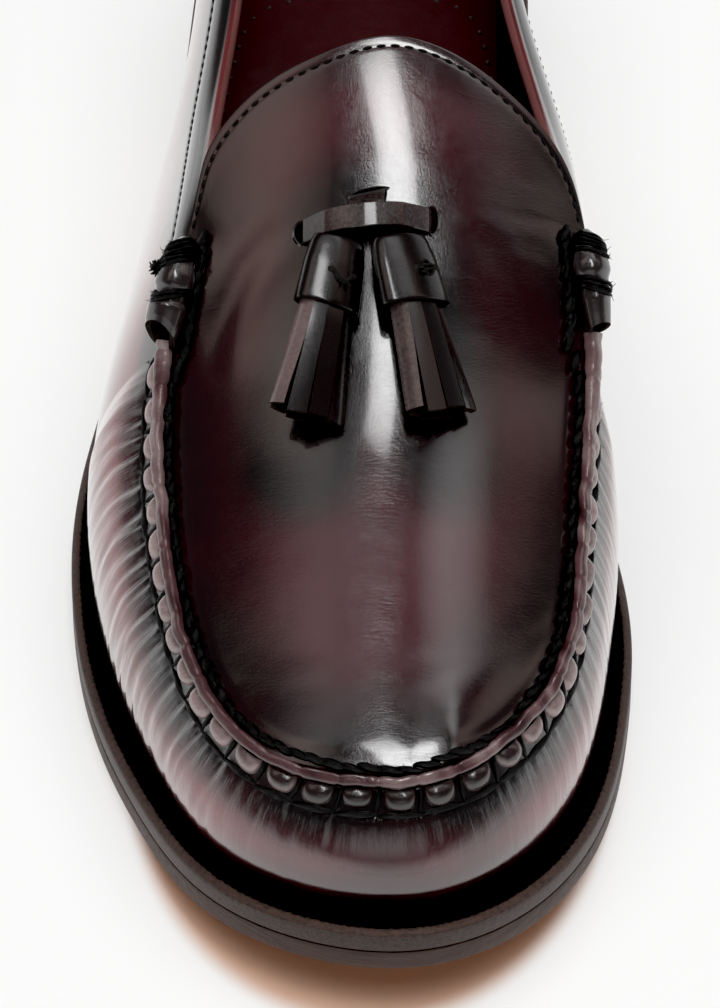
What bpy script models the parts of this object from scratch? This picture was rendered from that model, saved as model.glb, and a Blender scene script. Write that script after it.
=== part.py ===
"""A right-foot tassel loafer: leather sole with welt and heel, hollow moccasin upper, rolls, bow, tassels.

Frame: +Z up with the floor at zero, toe towards -Y, heel towards +Y, inner side of the foot towards +X.
Constants and tables are in millimetres or in hundredths of the driving sizes; meshes are in metres.
"""
import math
from collections import namedtuple

import bmesh
import bpy
import numpy as np
from mathutils import Matrix, Vector
from mathutils.bvhtree import BVHTree

MM = 0.001

# Driving sizes of the shoe.
LENGTH = 298.0
BALL_WIDTH = 107.0
INSTEP = 96.0
HEEL = 23.0
TOE_SPRING = 12.0

# Sole: thicknesses, and where the forefoot lifts, the arch begins and the heel begins.
OUTSOLE = 5.0
WELT = 3.2
INSOLE = 5.0
TOP_PIECE = 5.0
GAP = 0.3
SPRING_START = -0.235 * LENGTH
ARCH_START = -0.045 * LENGTH
BREAST = 0.255 * LENGTH
BREAST_HEIGHT = 0.80 * HEEL
BREAST_HOLLOW = 2.5

# Upper: wall, lean of the side, raised seam.
UPPER_WALL = 2.2
SIDE_LEAN = 2.0
SEAM_HEIGHT = 2.0
SEAM_HALF = 2.8
SEAM_CREST = 1.4

# Mesh density.
REAR_STATIONS = 19
FRONT_STATIONS = 22
ACROSS = 6
TONGUE_ROWS = 5

# Rolled seam ends, bow and tassels.
ROLL_LENGTH = 21.0
ROLL_RADIUS = 3.9
ROLL_SET_IN = 2.4
ROLL_SET_FORWARD = 2.0
STRAP_WIDTH = 5.6
STRAP_THICK = 1.5
STRAP_ARCH = 4.6
KEEPER_WIDTH = 7.4
TASSEL_LENGTH = 36.0
STRIPS = 7

# Sole outline: places across in hundredths of the ball width, along in hundredths of the length,
# then the welt that shows and the outward swell of the upper on each side, in millimetres.
SoleRow = namedtuple("SoleRow", "place lateral_across lateral_along medial_across medial_along"
                                " margin lateral_swell medial_swell")
SOLE = [
    SoleRow("heel back", 2.8, 50.0, 2.8, 50.0, 4.2, 3.0, 3.0),
    SoleRow("heel corner", -19.2, 46.6, 25.0, 46.6, 4.0, 3.0, 2.8),
    SoleRow("heel side", -29.4, 36.2, 34.6, 36.2, 3.8, 2.6, 2.2),
    SoleRow("waist", -32.7, 22.1, 34.6, 20.8, 3.6, 2.4, 2.8),
    SoleRow("quarter", -39.7, 8.4, 39.3, 5.0, 4.0, 2.4, 6.2),
    SoleRow("notch", -47.2, -5.0, 43.9, -8.1, 4.8, 2.2, 2.0),
    SoleRow("ball", -50.0, -15.1, 49.4, -19.5, 5.6, 3.2, 2.6),
    SoleRow("forepart", -46.3, -26.8, 48.7, -28.9, 6.4, 2.8, 2.4),
    SoleRow("toe side", -36.2, -37.1, 43.1, -38.3, 7.0, 2.6, 2.6),
    SoleRow("toe corner", -19.8, -46.1, 29.0, -46.5, 7.2, 2.4, 2.4),
    SoleRow("toe front", 6.5, -50.0, 6.5, -50.0, 7.2, 2.4, 2.4),
]

# Upper's edge, collar behind the notch and moccasin seam before it: across and along as above, up in
# hundredths of the instep; the last column is where the section meets the ridge of the instep.
EdgeRow = namedtuple("EdgeRow", "place lateral_across lateral_along lateral_up"
                                " medial_across medial_along medial_up ridge_along")
EDGE = [
    EdgeRow("heel back", 3.3, 46.6, 89.6, 3.3, 46.6, 89.6, 46.6),
    EdgeRow("heel corner", -13.1, 43.8, 88.0, 19.2, 43.8, 88.0, 43.8),
    EdgeRow("heel side", -20.6, 34.9, 78.6, 26.0, 34.9, 78.6, 34.9),
    EdgeRow("waist", -22.0, 20.8, 69.3, 29.9, 20.1, 69.3, 20.8),
    EdgeRow("quarter", -25.7, 5.7, 68.2, 36.9, 5.0, 68.8, 5.7),
    EdgeRow("notch", -28.4, -9.1, 75.5, 41.0, -8.6, 76.0, -7.4),
    EdgeRow("ball", -32.0, -16.8, 59.4, 41.2, -16.8, 60.9, -15.1),
    EdgeRow("forepart", -31.0, -26.2, 51.0, 39.1, -26.8, 51.6, -24.2),
    EdgeRow("toe side", -25.2, -35.9, 45.8, 34.8, -35.9, 45.8, -31.9),
    EdgeRow("toe corner", -11.7, -42.3, 43.2, 20.6, -42.3, 43.3, -35.9),
    EdgeRow("toe front", 5.6, -43.8, 42.7, 5.6, -43.8, 42.7, -37.2),
]

# Ridge of the instep from the tongue's tip to the toe, in the same hundredths.
RidgeRow = namedtuple("RidgeRow", "along across up")
RIDGE = [
    RidgeRow(1.7, 6.1, 100.5),
    RidgeRow(-3.4, 6.1, 93.2),
    RidgeRow(-8.4, 6.1, 84.9),
    RidgeRow(-15.1, 6.1, 74.5),
    RidgeRow(-21.8, 6.1, 66.1),
    RidgeRow(-28.5, 5.9, 59.9),
    RidgeRow(-35.2, 5.8, 54.5),
    RidgeRow(-39.6, 5.6, 50.0),
]

# Free edge of the tongue, from the lateral notch over the tip to the medial notch.
TongueRow = namedtuple("TongueRow", "turn across along")
TONGUE = [
    TongueRow(-0.90, -26.6, -6.6),
    TongueRow(-0.72, -24.2, -3.9),
    TongueRow(-0.50, -16.4, -1.3),
    TongueRow(-0.24, -4.9, 0.4),
    TongueRow(0.0, 6.1, 1.35),
    TongueRow(0.24, 16.6, 0.7),
    TongueRow(0.50, 26.5, -1.1),
    TongueRow(0.72, 34.5, -3.4),
    TongueRow(0.90, 39.3, -6.2),
]

# Side of the outsole and section of the welt: millimetres in from the outline and up from their underside.
ProfileRow = namedtuple("ProfileRow", "inward up")
OUTSOLE_SIDE = [
    ProfileRow(0.6, 0.0),
    ProfileRow(0.0, 0.7),
    ProfileRow(0.0, 3.0),
    ProfileRow(0.3, 4.6),
    ProfileRow(0.8, OUTSOLE),
]
WELT_SIDE = [
    ProfileRow(0.9, 0.0),
    ProfileRow(0.4, 0.5),
    ProfileRow(0.3, 2.2),
    ProfileRow(1.0, WELT),
    ProfileRow(2.9, WELT),
    ProfileRow(3.5, WELT - 0.6),
]

# Rolls and tassels: share of the length, then half sizes across and through.
RingRow = namedtuple("RingRow", "share half_width half_depth")
ROLL_RINGS = [
    RingRow(0.0, 2.2, 2.0),
    RingRow(0.04, 3.4, 3.2),
    RingRow(0.22, 3.9, 3.9),
    RingRow(0.40, 3.5, 3.5),
    RingRow(0.55, 3.9, 3.9),
    RingRow(0.70, 3.5, 3.5),
    RingRow(0.86, 3.8, 3.7),
    RingRow(0.97, 3.2, 3.0),
    RingRow(1.0, 2.0, 1.8),
]
SLEEVE_RINGS = [
    RingRow(0.0, 2.6, 1.8),
    RingRow(0.03, 4.7, 3.2),
    RingRow(0.12, 5.5, 3.9),
    RingRow(0.36, 5.8, 4.2),
    RingRow(0.37, 5.3, 3.8),
]
FRINGE_RINGS = [
    RingRow(0.40, 5.4, 3.9),
    RingRow(0.70, 6.6, 4.3),
    RingRow(1.0, 7.7, 4.6),
]
STRIP_ENDS = [0.0, -0.8, -0.2, 0.5, -0.6, 0.3, -0.4]

# Tassel seats on the instep: top of the sleeve and foot of the fringe, across and along in millimetres.
TasselRow = namedtuple("TasselRow", "name top_x top_y foot_x foot_y")
TASSELS = [
    TasselRow("tassel_lateral", -2.6, -33.6, -7.9, -67.5),
    TasselRow("tassel_medial", 8.4, -33.9, 17.4, -66.5),
]
BOW_LEFT = (-9.8, -29.6)
BOW_RIGHT = (16.4, -28.4)
KEEPER = (3.8, -22.8)

# Materials: colour, roughness.
FINISHES = {
    "outsole": ((0.30, 0.19, 0.11, 1.0), 0.62),
    "welt": ((0.055, 0.038, 0.032, 1.0), 0.45),
    "heel_stack": ((0.10, 0.075, 0.065, 1.0), 0.50),
    "heel_top_piece": ((0.018, 0.017, 0.017, 1.0), 0.72),
    "insole": ((0.035, 0.010, 0.010, 1.0), 0.55),
    "upper": ((0.075, 0.010, 0.014, 1.0), 0.16),
    "roll": ((0.070, 0.010, 0.013, 1.0), 0.20),
    "tassel": ((0.080, 0.011, 0.015, 1.0), 0.20),
}


def curve_through(knots, rows, at, closed=False):
    """Smooth cubic curve through the rows, read at places along its knots."""
    knots = np.asarray(knots, float)
    rows = np.asarray(rows, float)
    count = len(rows)
    if closed:
        rows = np.vstack([rows, rows[:1]])
    span = np.diff(knots)
    matrix = np.eye(count)
    right = np.zeros((count, rows.shape[1]))
    for i in range(count) if closed else range(1, count - 1):
        before = span[i - 1]
        after = span[i]
        matrix[i] = 0.0
        matrix[i, i - 1] += before
        matrix[i, i] += 2.0 * (before + after)
        matrix[i, (i + 1) % count] += after
        rise_before = (rows[i] - rows[i - 1 if i else count - 1]) / before
        right[i] = 6.0 * ((rows[i + 1] - rows[i]) / after - rise_before)
    bend = np.linalg.solve(matrix, right)
    if closed:
        bend = np.vstack([bend, bend[:1]])
    at = np.asarray(at, float)
    if closed:
        at = at % knots[-1]
    piece = np.clip(np.searchsorted(knots, at, side="right") - 1, 0, len(span) - 1)
    width = span[piece][:, None]
    ahead = (knots[piece + 1] - at)[:, None]
    past = (at - knots[piece])[:, None]
    cubic = (bend[piece] * ahead ** 3 + bend[piece + 1] * past ** 3) / (6.0 * width)
    start = (rows[piece] / width - bend[piece] * width / 6.0) * ahead
    end = (rows[piece + 1] / width - bend[piece + 1] * width / 6.0) * past
    return cubic + start + end


def scaled(across, along):
    """Plan place in millimetres from hundredths of the ball width and the length."""
    return np.array([across * BALL_WIDTH, along * LENGTH]) / 100.0


def around(lateral, medial):
    """Rows of the closed loop: lateral side heel to toe, then medial side toe to heel."""
    return np.array(list(lateral) + list(medial[-2:0:-1]))


SOLE_LATERAL = [scaled(row.lateral_across, row.lateral_along) for row in SOLE]
SOLE_MEDIAL = [scaled(row.medial_across, row.medial_along) for row in SOLE]
STEPS = [0.5 * (np.linalg.norm(SOLE_LATERAL[i + 1] - SOLE_LATERAL[i])
                + np.linalg.norm(SOLE_MEDIAL[i + 1] - SOLE_MEDIAL[i])) for i in range(len(SOLE) - 1)]
DISTANCE = np.concatenate([[0.0], np.cumsum(STEPS)])
TOE = DISTANCE[-1]
NOTCH = DISTANCE[[row.place for row in SOLE].index("notch")]
LOOP_KNOTS = np.concatenate([DISTANCE, 2.0 * TOE - DISTANCE[-2::-1]])
RIDGE_KNOTS = [-row.along * LENGTH / 100.0 for row in RIDGE]
STATIONS = np.concatenate([np.linspace(0.0, NOTCH, REAR_STATIONS + 1)[:-1],
                           np.linspace(NOTCH, TOE, FRONT_STATIONS + 1)])
LOOP = np.concatenate([STATIONS, 2.0 * TOE - STATIONS[-2:0:-1]])


def loop_curve(lateral, medial, at):
    """Closed curve through paired lateral and medial rows, read at loop distances."""
    return curve_through(LOOP_KNOTS, around(lateral, medial), at, closed=True)


def loop_column(values, at):
    """One column of the sole table, the same on both sides, read at loop distances."""
    column = [[value] for value in values]
    return loop_curve(column, column, at)[:, 0]


def margin(at):
    """Welt that shows outside the upper."""
    return loop_column([row.margin for row in SOLE], at)


def outline(at, inward=0.0):
    """Sole outline moved inward, and its outward direction."""
    at = np.asarray(at, float)
    place = loop_curve(SOLE_LATERAL, SOLE_MEDIAL, at)
    ahead = loop_curve(SOLE_LATERAL, SOLE_MEDIAL, at + 0.5)
    behind = loop_curve(SOLE_LATERAL, SOLE_MEDIAL, at - 0.5)
    run = ahead - behind
    run /= np.linalg.norm(run, axis=1)[:, None]
    outward = np.stack([run[:, 1], -run[:, 0]], axis=1)
    return place - outward * np.broadcast_to(inward, at.shape)[:, None], outward


def tread(along):
    """Height of the outsole's underside: toe spring, flat forefoot, arch, heel seat."""
    spring = np.clip((SPRING_START - along) / (SPRING_START + LENGTH / 2.0), 0.0, 1.0)
    arch = np.clip((along - ARCH_START) / (BREAST - ARCH_START), 0.0, 1.0)
    seat = np.clip((along - BREAST) / (LENGTH / 2.0 - BREAST), 0.0, 1.0)
    pitch = (HEEL - BREAST_HEIGHT) * (BREAST - ARCH_START) / (LENGTH / 2.0 - BREAST)
    return (TOE_SPRING * spring ** 2 + BREAST_HEIGHT * arch ** 2 * (3.0 - 2.0 * arch)
            + pitch * arch ** 2 * (arch - 1.0) + (HEEL - BREAST_HEIGHT) * seat)


def raised(place, up):
    """Plan places lifted to a height above the outsole's underside."""
    return np.column_stack([place, tread(place[:, 1]) + up])


def seam(at):
    """Seam or collar edge of the upper."""
    rise = INSTEP / 100.0
    lateral = [(*scaled(row.lateral_across, row.lateral_along), row.lateral_up * rise) for row in EDGE]
    medial = [(*scaled(row.medial_across, row.medial_along), row.medial_up * rise) for row in EDGE]
    return loop_curve(lateral, medial, at)


def ridge(along):
    """Point of the instep's ridge at a place along the shoe, and the ridge's slope there."""
    rows = [(row.across * BALL_WIDTH / 100.0, row.up * INSTEP / 100.0) for row in RIDGE]
    along = np.asarray(along, float)
    here = curve_through(RIDGE_KNOTS, rows, -along)
    behind = curve_through(RIDGE_KNOTS, rows, -along - 0.5)
    before = curve_through(RIDGE_KNOTS, rows, -along + 0.5)
    return np.column_stack([here[:, 0], along, here[:, 1]]), behind[:, 1] - before[:, 1]


def ridge_end(at):
    """Point of the ridge where the section at a loop distance ends, and the slope there."""
    return ridge(loop_column([row.ridge_along * LENGTH / 100.0 for row in EDGE], at))


def wall(at, share):
    """Outer face of the side: zero at the welt, one at the seam or collar."""
    plan, outward = outline(at, margin(at))
    foot = raised(plan, OUTSOLE + WELT + 2.0 * GAP)
    edge = seam(at)
    share = np.broadcast_to(share, at.shape)[:, None]
    swell = loop_curve([[row.lateral_swell] for row in SOLE], [[row.medial_swell] for row in SOLE], at)
    point = foot.copy()
    point[:, 2:] += (edge - foot)[:, 2:] * share
    point[:, :2] += (edge - foot)[:, :2] * share ** SIDE_LEAN
    point[:, :2] += outward * swell * 4.0 * share * (1.0 - share)
    return point


def apron(at, share):
    """Outer face of the apron: zero at the seam, one at the ridge."""
    edge = seam(at)
    top, slope = ridge_end(at)
    share = np.broadcast_to(share, at.shape)[:, None]
    rise = (top - edge)[:, 2:]
    end = ((top - edge)[:, 1] * slope)[:, None]
    point = edge + (top - edge) * share
    point[:, 2:] = edge[:, 2:] + (2.0 * rise - end) * share + (end - rise) * share ** 2
    return point


def tongue(turn, depth):
    """Outer face of the tongue: from the notch section (depth zero) to the free edge (depth one)."""
    turn = np.asarray(turn, float)
    lateral = turn < 0.0
    at = np.where(lateral, NOTCH, 2.0 * TOE - NOTCH)
    front = apron(at, 1.0 - np.abs(turn))
    ends = seam(np.array([NOTCH, 2.0 * TOE - NOTCH]))
    rows = [ends[0, :2]] + [scaled(row.across, row.along) for row in TONGUE] + [ends[1, :2]]
    turns = [-1.0] + [row.turn for row in TONGUE] + [1.0]
    plan = front[:, :2] * (1.0 - depth) + curve_through(turns, rows, turn) * depth
    corner = np.where(lateral[:, None], ends[0], ends[1])
    corner_top = ridge(corner[:, 1])[0]

    def crown(place):
        top = ridge(place[:, 1])[0]
        off = (place[:, 0] - top[:, 0]) / (corner[:, 0] - corner_top[:, 0])
        return top[:, 2] - (corner_top[:, 2] - corner[:, 2]) * off ** 2

    height = crown(plan) + (1.0 - depth) * (front[:, 2] - crown(front[:, :2]))
    return np.column_stack([plan, height])


def add_grid(bm, rows, lift=None):
    """Quads over a grid of millimetre points; lift fills the layer that raises the seam."""
    made = [[bm.verts.new(Vector(point) * MM) for point in row] for row in rows]
    if lift is not None:
        layer = bm.verts.layers.float["lift"]
        for row, heights in zip(made, lift):
            for vert, height in zip(row, heights):
                vert[layer] = height
    for low, high in zip(made, made[1:]):
        for i in range(len(low) - 1):
            bm.faces.new((low[i], low[i + 1], high[i + 1], high[i]))


def closed_body(bm):
    """Weld the grids into one body with its faces outward."""
    bmesh.ops.remove_doubles(bm, verts=bm.verts[:], dist=1e-6)
    bmesh.ops.dissolve_degenerate(bm, edges=bm.edges[:], dist=1e-7)
    bmesh.ops.recalc_face_normals(bm, faces=bm.faces[:])


def finish_for(name):
    """Material of a finish, made once."""
    material = bpy.data.materials.get(name)
    if material is None:
        colour, roughness = FINISHES[name]
        material = bpy.data.materials.new(name)
        material.use_nodes = True
        shader = material.node_tree.nodes["Principled BSDF"]
        shader.inputs["Base Color"].default_value = colour
        shader.inputs["Roughness"].default_value = roughness
        shader.inputs["Metallic"].default_value = 0.0
        material.diffuse_color = colour
    return material


def add_object(name, bm, finish, root):
    """Named object from a mesh, smooth shaded, hung on the shoe."""
    mesh = bpy.data.meshes.new(name)
    bm.to_mesh(mesh)
    bm.free()
    mesh.shade_smooth()
    mesh.set_sharp_from_angle(angle=math.radians(38.0))
    mesh.materials.append(finish_for(finish))
    thing = bpy.data.objects.new(name, mesh)
    bpy.context.scene.collection.objects.link(thing)
    thing.parent = root
    return thing


def cross_rows(stations, inward, height, hollow=0.0):
    """Points across a plate at each station, lateral to medial, on a height rule."""
    lateral = outline(stations, inward(stations))[0]
    medial = outline(2.0 * TOE - stations, inward(stations))[0]
    shares = np.linspace(0.0, 1.0, ACROSS + 1)
    rows = []
    for left, right in zip(lateral, medial):
        plan = left + (right - left) * shares[:, None]
        rows.append(plan)
    rows[-1][:, 1] += hollow * 4.0 * shares * (1.0 - shares)
    return [np.column_stack([plan, height(plan)]) for plan in rows]


def add_plate(name, stations, layers, finish, root, hollow=0.0):
    """Solid plate from layers of (inward rule, height rule), bottom to top."""
    bm = bmesh.new()
    stacks = [cross_rows(stations, inward, height, hollow) for inward, height in layers]
    rings = []
    for rows in stacks:
        lateral = [row[0] for row in rows]
        medial = [row[-1] for row in rows[::-1]]
        rings.append(lateral + list(rows[-1][1:-1]) + medial)
    add_grid(bm, rings)
    add_grid(bm, stacks[0])
    add_grid(bm, stacks[-1])
    closed_body(bm)
    return add_object(name, bm, finish, root)


def over_tread(up):
    """Height rule: a distance above the outsole's underside."""
    return lambda plan: tread(plan[:, 1]) + up


def inset(distance):
    """Inward rule: the same distance all round."""
    return lambda at: np.full(at.shape, distance)


def inside_wall(distance):
    """Inward rule: a distance inside the foot of the upper."""
    return lambda at: margin(at) + distance


def add_sole(root):
    """Outsole, welt, heel and insole."""
    add_plate("outsole", STATIONS, [(inset(row.inward), over_tread(row.up)) for row in OUTSOLE_SIDE],
              "outsole", root)
    base = OUTSOLE + GAP
    bm = bmesh.new()
    closed = np.append(LOOP, 0.0)
    inner = margin(closed) + UPPER_WALL
    rings = [raised(outline(closed, row.inward)[0], base + row.up) for row in WELT_SIDE]
    rings.append(raised(outline(closed, inner)[0], base + WELT - 0.6))
    rings.append(raised(outline(closed, inner)[0], base))
    add_grid(bm, rings + rings[:1])
    closed_body(bm)
    add_object("welt", bm, "welt", root)
    add_plate("insole", STATIONS,
              [(inside_wall(UPPER_WALL + GAP), over_tread(base)),
               (inside_wall(UPPER_WALL + GAP), over_tread(base + INSOLE - 0.8)),
               (inside_wall(UPPER_WALL + GAP + 0.9), over_tread(base + INSOLE))], "insole", root)
    breast = float(np.interp(-BREAST, [-row[1] for row in SOLE_LATERAL], DISTANCE))
    heel = np.linspace(0.0, breast, 15)
    add_plate("heel_stack", heel,
              [(inset(2.2), lambda plan: np.full(len(plan), TOP_PIECE + GAP)),
               (inset(1.2), lambda plan: tread(plan[:, 1]) - GAP)], "heel_stack", root, BREAST_HOLLOW)
    add_plate("heel_top_piece", heel,
              [(inset(2.7), lambda plan: np.zeros(len(plan))),
               (inset(2.3), lambda plan: np.full(len(plan), 0.6)),
               (inset(2.2), lambda plan: np.full(len(plan), TOP_PIECE))],
              "heel_top_piece", root, BREAST_HOLLOW)


def seam_lift(at):
    """Height of the raised seam: full round the toe, fading out under the rolls."""
    from_toe = TOE - np.abs(np.asarray(at, float) - TOE)
    return SEAM_HEIGHT * np.clip((from_toe - NOTCH - ROLL_SET_FORWARD - ROLL_LENGTH) / 8.0, 0.0, 1.0)


def add_upper(root):
    """One hollow shell: sides, apron and tongue, open at the collar and underneath."""
    bm = bmesh.new()
    bm.verts.layers.float.new("lift")
    closed = np.append(LOOP, 0.0)
    height = seam(closed)[:, 2] - wall(closed, 0.0)[:, 2]
    shares = [0.0, 0.1, 0.24, 0.40, 0.56, 0.72, 1.0 - SEAM_HALF / height, 1.0]
    flat = np.zeros(closed.shape)
    add_grid(bm, [wall(closed, share) for share in shares], [flat] * 7 + [seam_lift(closed)])
    front = STATIONS[STATIONS >= NOTCH - 1e-9]
    for side in (front, 2.0 * TOE - front[::-1]):
        width = np.linalg.norm((ridge_end(side)[0] - seam(side))[:, :2], axis=1)
        shares = [0.0, SEAM_CREST / width, SEAM_HALF / width, 0.28, 0.45, 0.64, 0.83, 1.0]
        flat = np.zeros(side.shape)
        crest = seam_lift(side)
        add_grid(bm, [apron(side, share) for share in shares], [crest, 0.9 * crest] + [flat] * 6)
    turns = []
    for end in (NOTCH, 2.0 * TOE - NOTCH):
        at = np.array([end])
        width = np.linalg.norm((ridge_end(at)[0] - seam(at))[0, :2])
        turns.append(1.0 - np.array([0.0, SEAM_CREST / width, SEAM_HALF / width, 0.28, 0.45, 0.64, 0.83]))
    turns = np.concatenate([-turns[0], [0.0], turns[1][::-1]])
    add_grid(bm, [tongue(turns, depth) for depth in np.linspace(0.0, 1.0, TONGUE_ROWS + 1)])
    bmesh.ops.remove_doubles(bm, verts=bm.verts[:], dist=1e-6)
    bm.normal_update()
    outward = bm.verts.layers.float_vector.new("outward")
    lift = bm.verts.layers.float["lift"]
    foot = bm.verts.layers.float.new("foot")
    for vert in bm.verts:
        vert[outward] = vert.normal
    for point in wall(LOOP, 0.0):
        spot = Vector(point) * MM
        low = min(bm.verts, key=lambda vert: (vert.co - spot).length)
        low[foot] = 1.0
    outer = bm.verts[:]
    made = bmesh.ops.extrude_face_region(bm, geom=bm.faces[:], use_keep_orig=True)
    for vert in made["geom"]:
        if isinstance(vert, bmesh.types.BMVert):
            inward = vert[outward].copy()
            if vert[foot]:
                inward.z = 0.0
                inward.normalize()
            vert.co -= inward * UPPER_WALL * MM
    for vert in outer:
        vert.co += vert[outward] * vert[lift] * MM
    closed_body(bm)
    tree = BVHTree.FromBMesh(bm)
    add_object("upper", bm, "upper", root)
    return tree


def seat(tree, x, y):
    """Point of the upper's top face over a plan place, in millimetres."""
    hit = tree.ray_cast(Vector((x, y, 200.0)) * MM, Vector((0.0, 0.0, -1.0)))
    return np.array(hit[0]) / MM, np.array(hit[1])


def loft(bm, rings):
    """Closed body from rings of points, its ends closed by a fan."""
    closed = [np.vstack([ring, ring[:1]]) for ring in rings]
    first = np.repeat(rings[0].mean(axis=0)[None], len(closed[0]), axis=0)
    last = np.repeat(rings[-1].mean(axis=0)[None], len(closed[0]), axis=0)
    add_grid(bm, [first] + closed + [last])
    closed_body(bm)


def add_rolls(root):
    """Rolled ends of the seam, lying along the last stretch before the notch."""
    for name, mirror in (("roll_lateral", False), ("roll_medial", True)):
        stretch = np.linspace(NOTCH + ROLL_SET_FORWARD + ROLL_LENGTH, NOTCH + ROLL_SET_FORWARD, 40)
        at = 2.0 * TOE - stretch if mirror else stretch
        width = np.linalg.norm((ridge_end(at)[0] - seam(at))[:, :2], axis=1)
        bed = apron(at, ROLL_SET_IN / width)
        out = np.cross(np.gradient(bed, axis=0), apron(at, (ROLL_SET_IN + 0.5) / width) - bed)
        out *= np.sign(out[:, 2:]) / np.linalg.norm(out, axis=1)[:, None]
        centre = bed + out * (ROLL_RADIUS + GAP)
        gone = np.concatenate([[0.0], np.cumsum(np.linalg.norm(np.diff(centre, axis=0), axis=1))])
        rings = []
        for row in ROLL_RINGS:
            along = row.share * gone[-1]
            middle = np.array([np.interp(along, gone, centre[:, k]) for k in range(3)])
            up = np.array([np.interp(along, gone, out[:, k]) for k in range(3)])
            ahead = centre[-1] - centre[0]
            across = np.cross(ahead, up)
            across /= np.linalg.norm(across)
            angle = np.linspace(0.0, 2.0 * math.pi, 13)[:-1, None]
            sideways = across * np.cos(angle) * row.half_width
            rings.append(middle + sideways + up * np.sin(angle) * row.half_depth)
        bm = bmesh.new()
        loft(bm, rings)
        add_object(name, bm, "roll", root)


def band_ring(middle, across, up, width):
    """Section of a leather band with its edges eased."""
    half = width / 2.0
    thick = STRAP_THICK / 2.0
    corners = [(-half, -0.4), (-half + 0.5, -1.0), (half - 0.5, -1.0), (half, -0.4),
               (half, 0.4), (half - 0.5, 1.0), (-half + 0.5, 1.0), (-half, 0.4)]
    return np.array([middle + across * a + up * b * thick for a, b in corners])


def band_body(path, across, width):
    """Leather band along a path, its width held along one direction."""
    rings = []
    run = np.gradient(path, axis=0)
    for middle, ahead in zip(path, run):
        up = np.cross(ahead, across)
        up /= np.linalg.norm(up)
        rings.append(band_ring(middle, across, up, width))
    bm = bmesh.new()
    loft(bm, rings)
    return bm


def add_bow(tree, root):
    """Strap arched over the instep from slit to slit, with the keeper loop behind it."""
    left = seat(tree, *BOW_LEFT)[0]
    right = seat(tree, *BOW_RIGHT)[0]
    lean = Vector(seat(tree, 0.5 * (left[0] + right[0]), left[1])[1])
    along = np.array(lean.cross(Vector((1.0, 0.0, 0.0))).normalized())
    shares = np.linspace(0.0, 1.0, 15)
    path = []
    for share in shares:
        plan = left[:2] + (right - left)[:2] * share
        ground = seat(tree, *plan)[0]
        rise = STRAP_THICK / 2.0 + 2.0 * GAP + STRAP_ARCH * math.sin(math.pi * share) ** 0.75
        path.append(ground + np.array(lean) * rise)
    strap = add_object("tassel_bow", band_body(np.array(path), along, STRAP_WIDTH), "tassel", root)
    crest = path[7]
    foot = seat(tree, *KEEPER)[0] + np.array(lean) * (GAP + 0.6)
    turn = np.linspace(0.0, 1.0, 9)[:, None]
    lower = crest - np.array(lean) * 1.1
    high = 0.5 * (foot + lower) + np.array(lean) * 3.4
    keeper_path = foot * (1.0 - turn) ** 2 + 2.0 * high * turn * (1.0 - turn) + lower * turn ** 2
    across = np.array((1.0, 0.0, 0.0))
    keeper = add_object("keeper", band_body(keeper_path, across, KEEPER_WIDTH), "tassel", root)
    joined = strap.modifiers.new("keeper", "BOOLEAN")
    joined.operation = "UNION"
    joined.solver = "EXACT"
    joined.object = keeper
    keeper.hide_render = True
    keeper.display_type = "WIRE"


def strip_angles():
    """Angle and depth of each point round a tassel: two edges of a strip, then the slit beside it."""
    points = []
    for i in range(STRIPS):
        for offset, slit in ((-0.42, 0.0), (0.0, 0.0), (0.42, 0.0), (0.5, 1.0)):
            points.append((2.0 * math.pi * (i + offset) / STRIPS + math.pi / 2.0, slit, STRIP_ENDS[i]))
    return points


def tassel_ring(row, slit_depth, ragged):
    """Ring of a tassel in its own frame: X across, Y up from the seat, Z from top to foot."""
    ring = []
    for angle, slit, end in strip_angles():
        draw = 1.0 - slit_depth * slit
        reach = row.share * TASSEL_LENGTH + ragged * end
        ring.append((row.half_width * draw * math.cos(angle), row.half_depth * draw * math.sin(angle), reach))
    return np.array(ring)


def add_tassels(tree, root):
    """Two tassels lying on the instep, each a wrapped sleeve with its strips."""
    for row in TASSELS:
        bm = bmesh.new()
        rings = [tassel_ring(ring, 0.0, 0.0) for ring in SLEEVE_RINGS]
        rings += [tassel_ring(ring, 0.24, 1.0 if ring is FRINGE_RINGS[-1] else 0.0) for ring in FRINGE_RINGS]
        loft(bm, rings)
        thing = add_object(row.name, bm, "tassel", root)
        top, top_normal = seat(tree, row.top_x, row.top_y)
        foot, foot_normal = seat(tree, row.foot_x, row.foot_y)
        out = Vector(top_normal + foot_normal).normalized()
        top = Vector(top) + out * (SLEEVE_RINGS[3].half_depth + GAP)
        foot = Vector(foot) + out * (FRINGE_RINGS[-1].half_depth + GAP + 0.6)
        ahead = (foot - top).normalized()
        across = out.cross(ahead).normalized()
        out = ahead.cross(across)
        turn = Matrix((across, out, ahead)).transposed()
        thing.matrix_local = Matrix.Translation(top * MM) @ turn.to_4x4()


def main():
    """Clear the file and build the shoe."""
    for thing in list(bpy.data.objects):
        bpy.data.objects.remove(thing, do_unlink=True)
    root = bpy.data.objects.new("loafer", None)
    bpy.context.scene.collection.objects.link(root)
    add_sole(root)
    tree = add_upper(root)
    add_rolls(root)
    add_bow(tree, root)
    add_tassels(tree, root)


main()
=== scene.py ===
"""Dress a right-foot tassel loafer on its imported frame: leather upper, moccasin seam, tassels, sole and heel.

Frame: +Z up with the floor at zero, toe towards -Y, heel towards +Y, inner side of the foot towards +X.
Sizes are in millimetres and become metres only where a mesh gets its points.
"""
import logging
import math
from dataclasses import dataclass
from enum import Enum
from typing import Callable, NamedTuple, Sequence

import bmesh
import bpy
import numpy as np
from mathutils import Matrix, Vector
from mathutils.bvhtree import BVHTree

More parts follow.
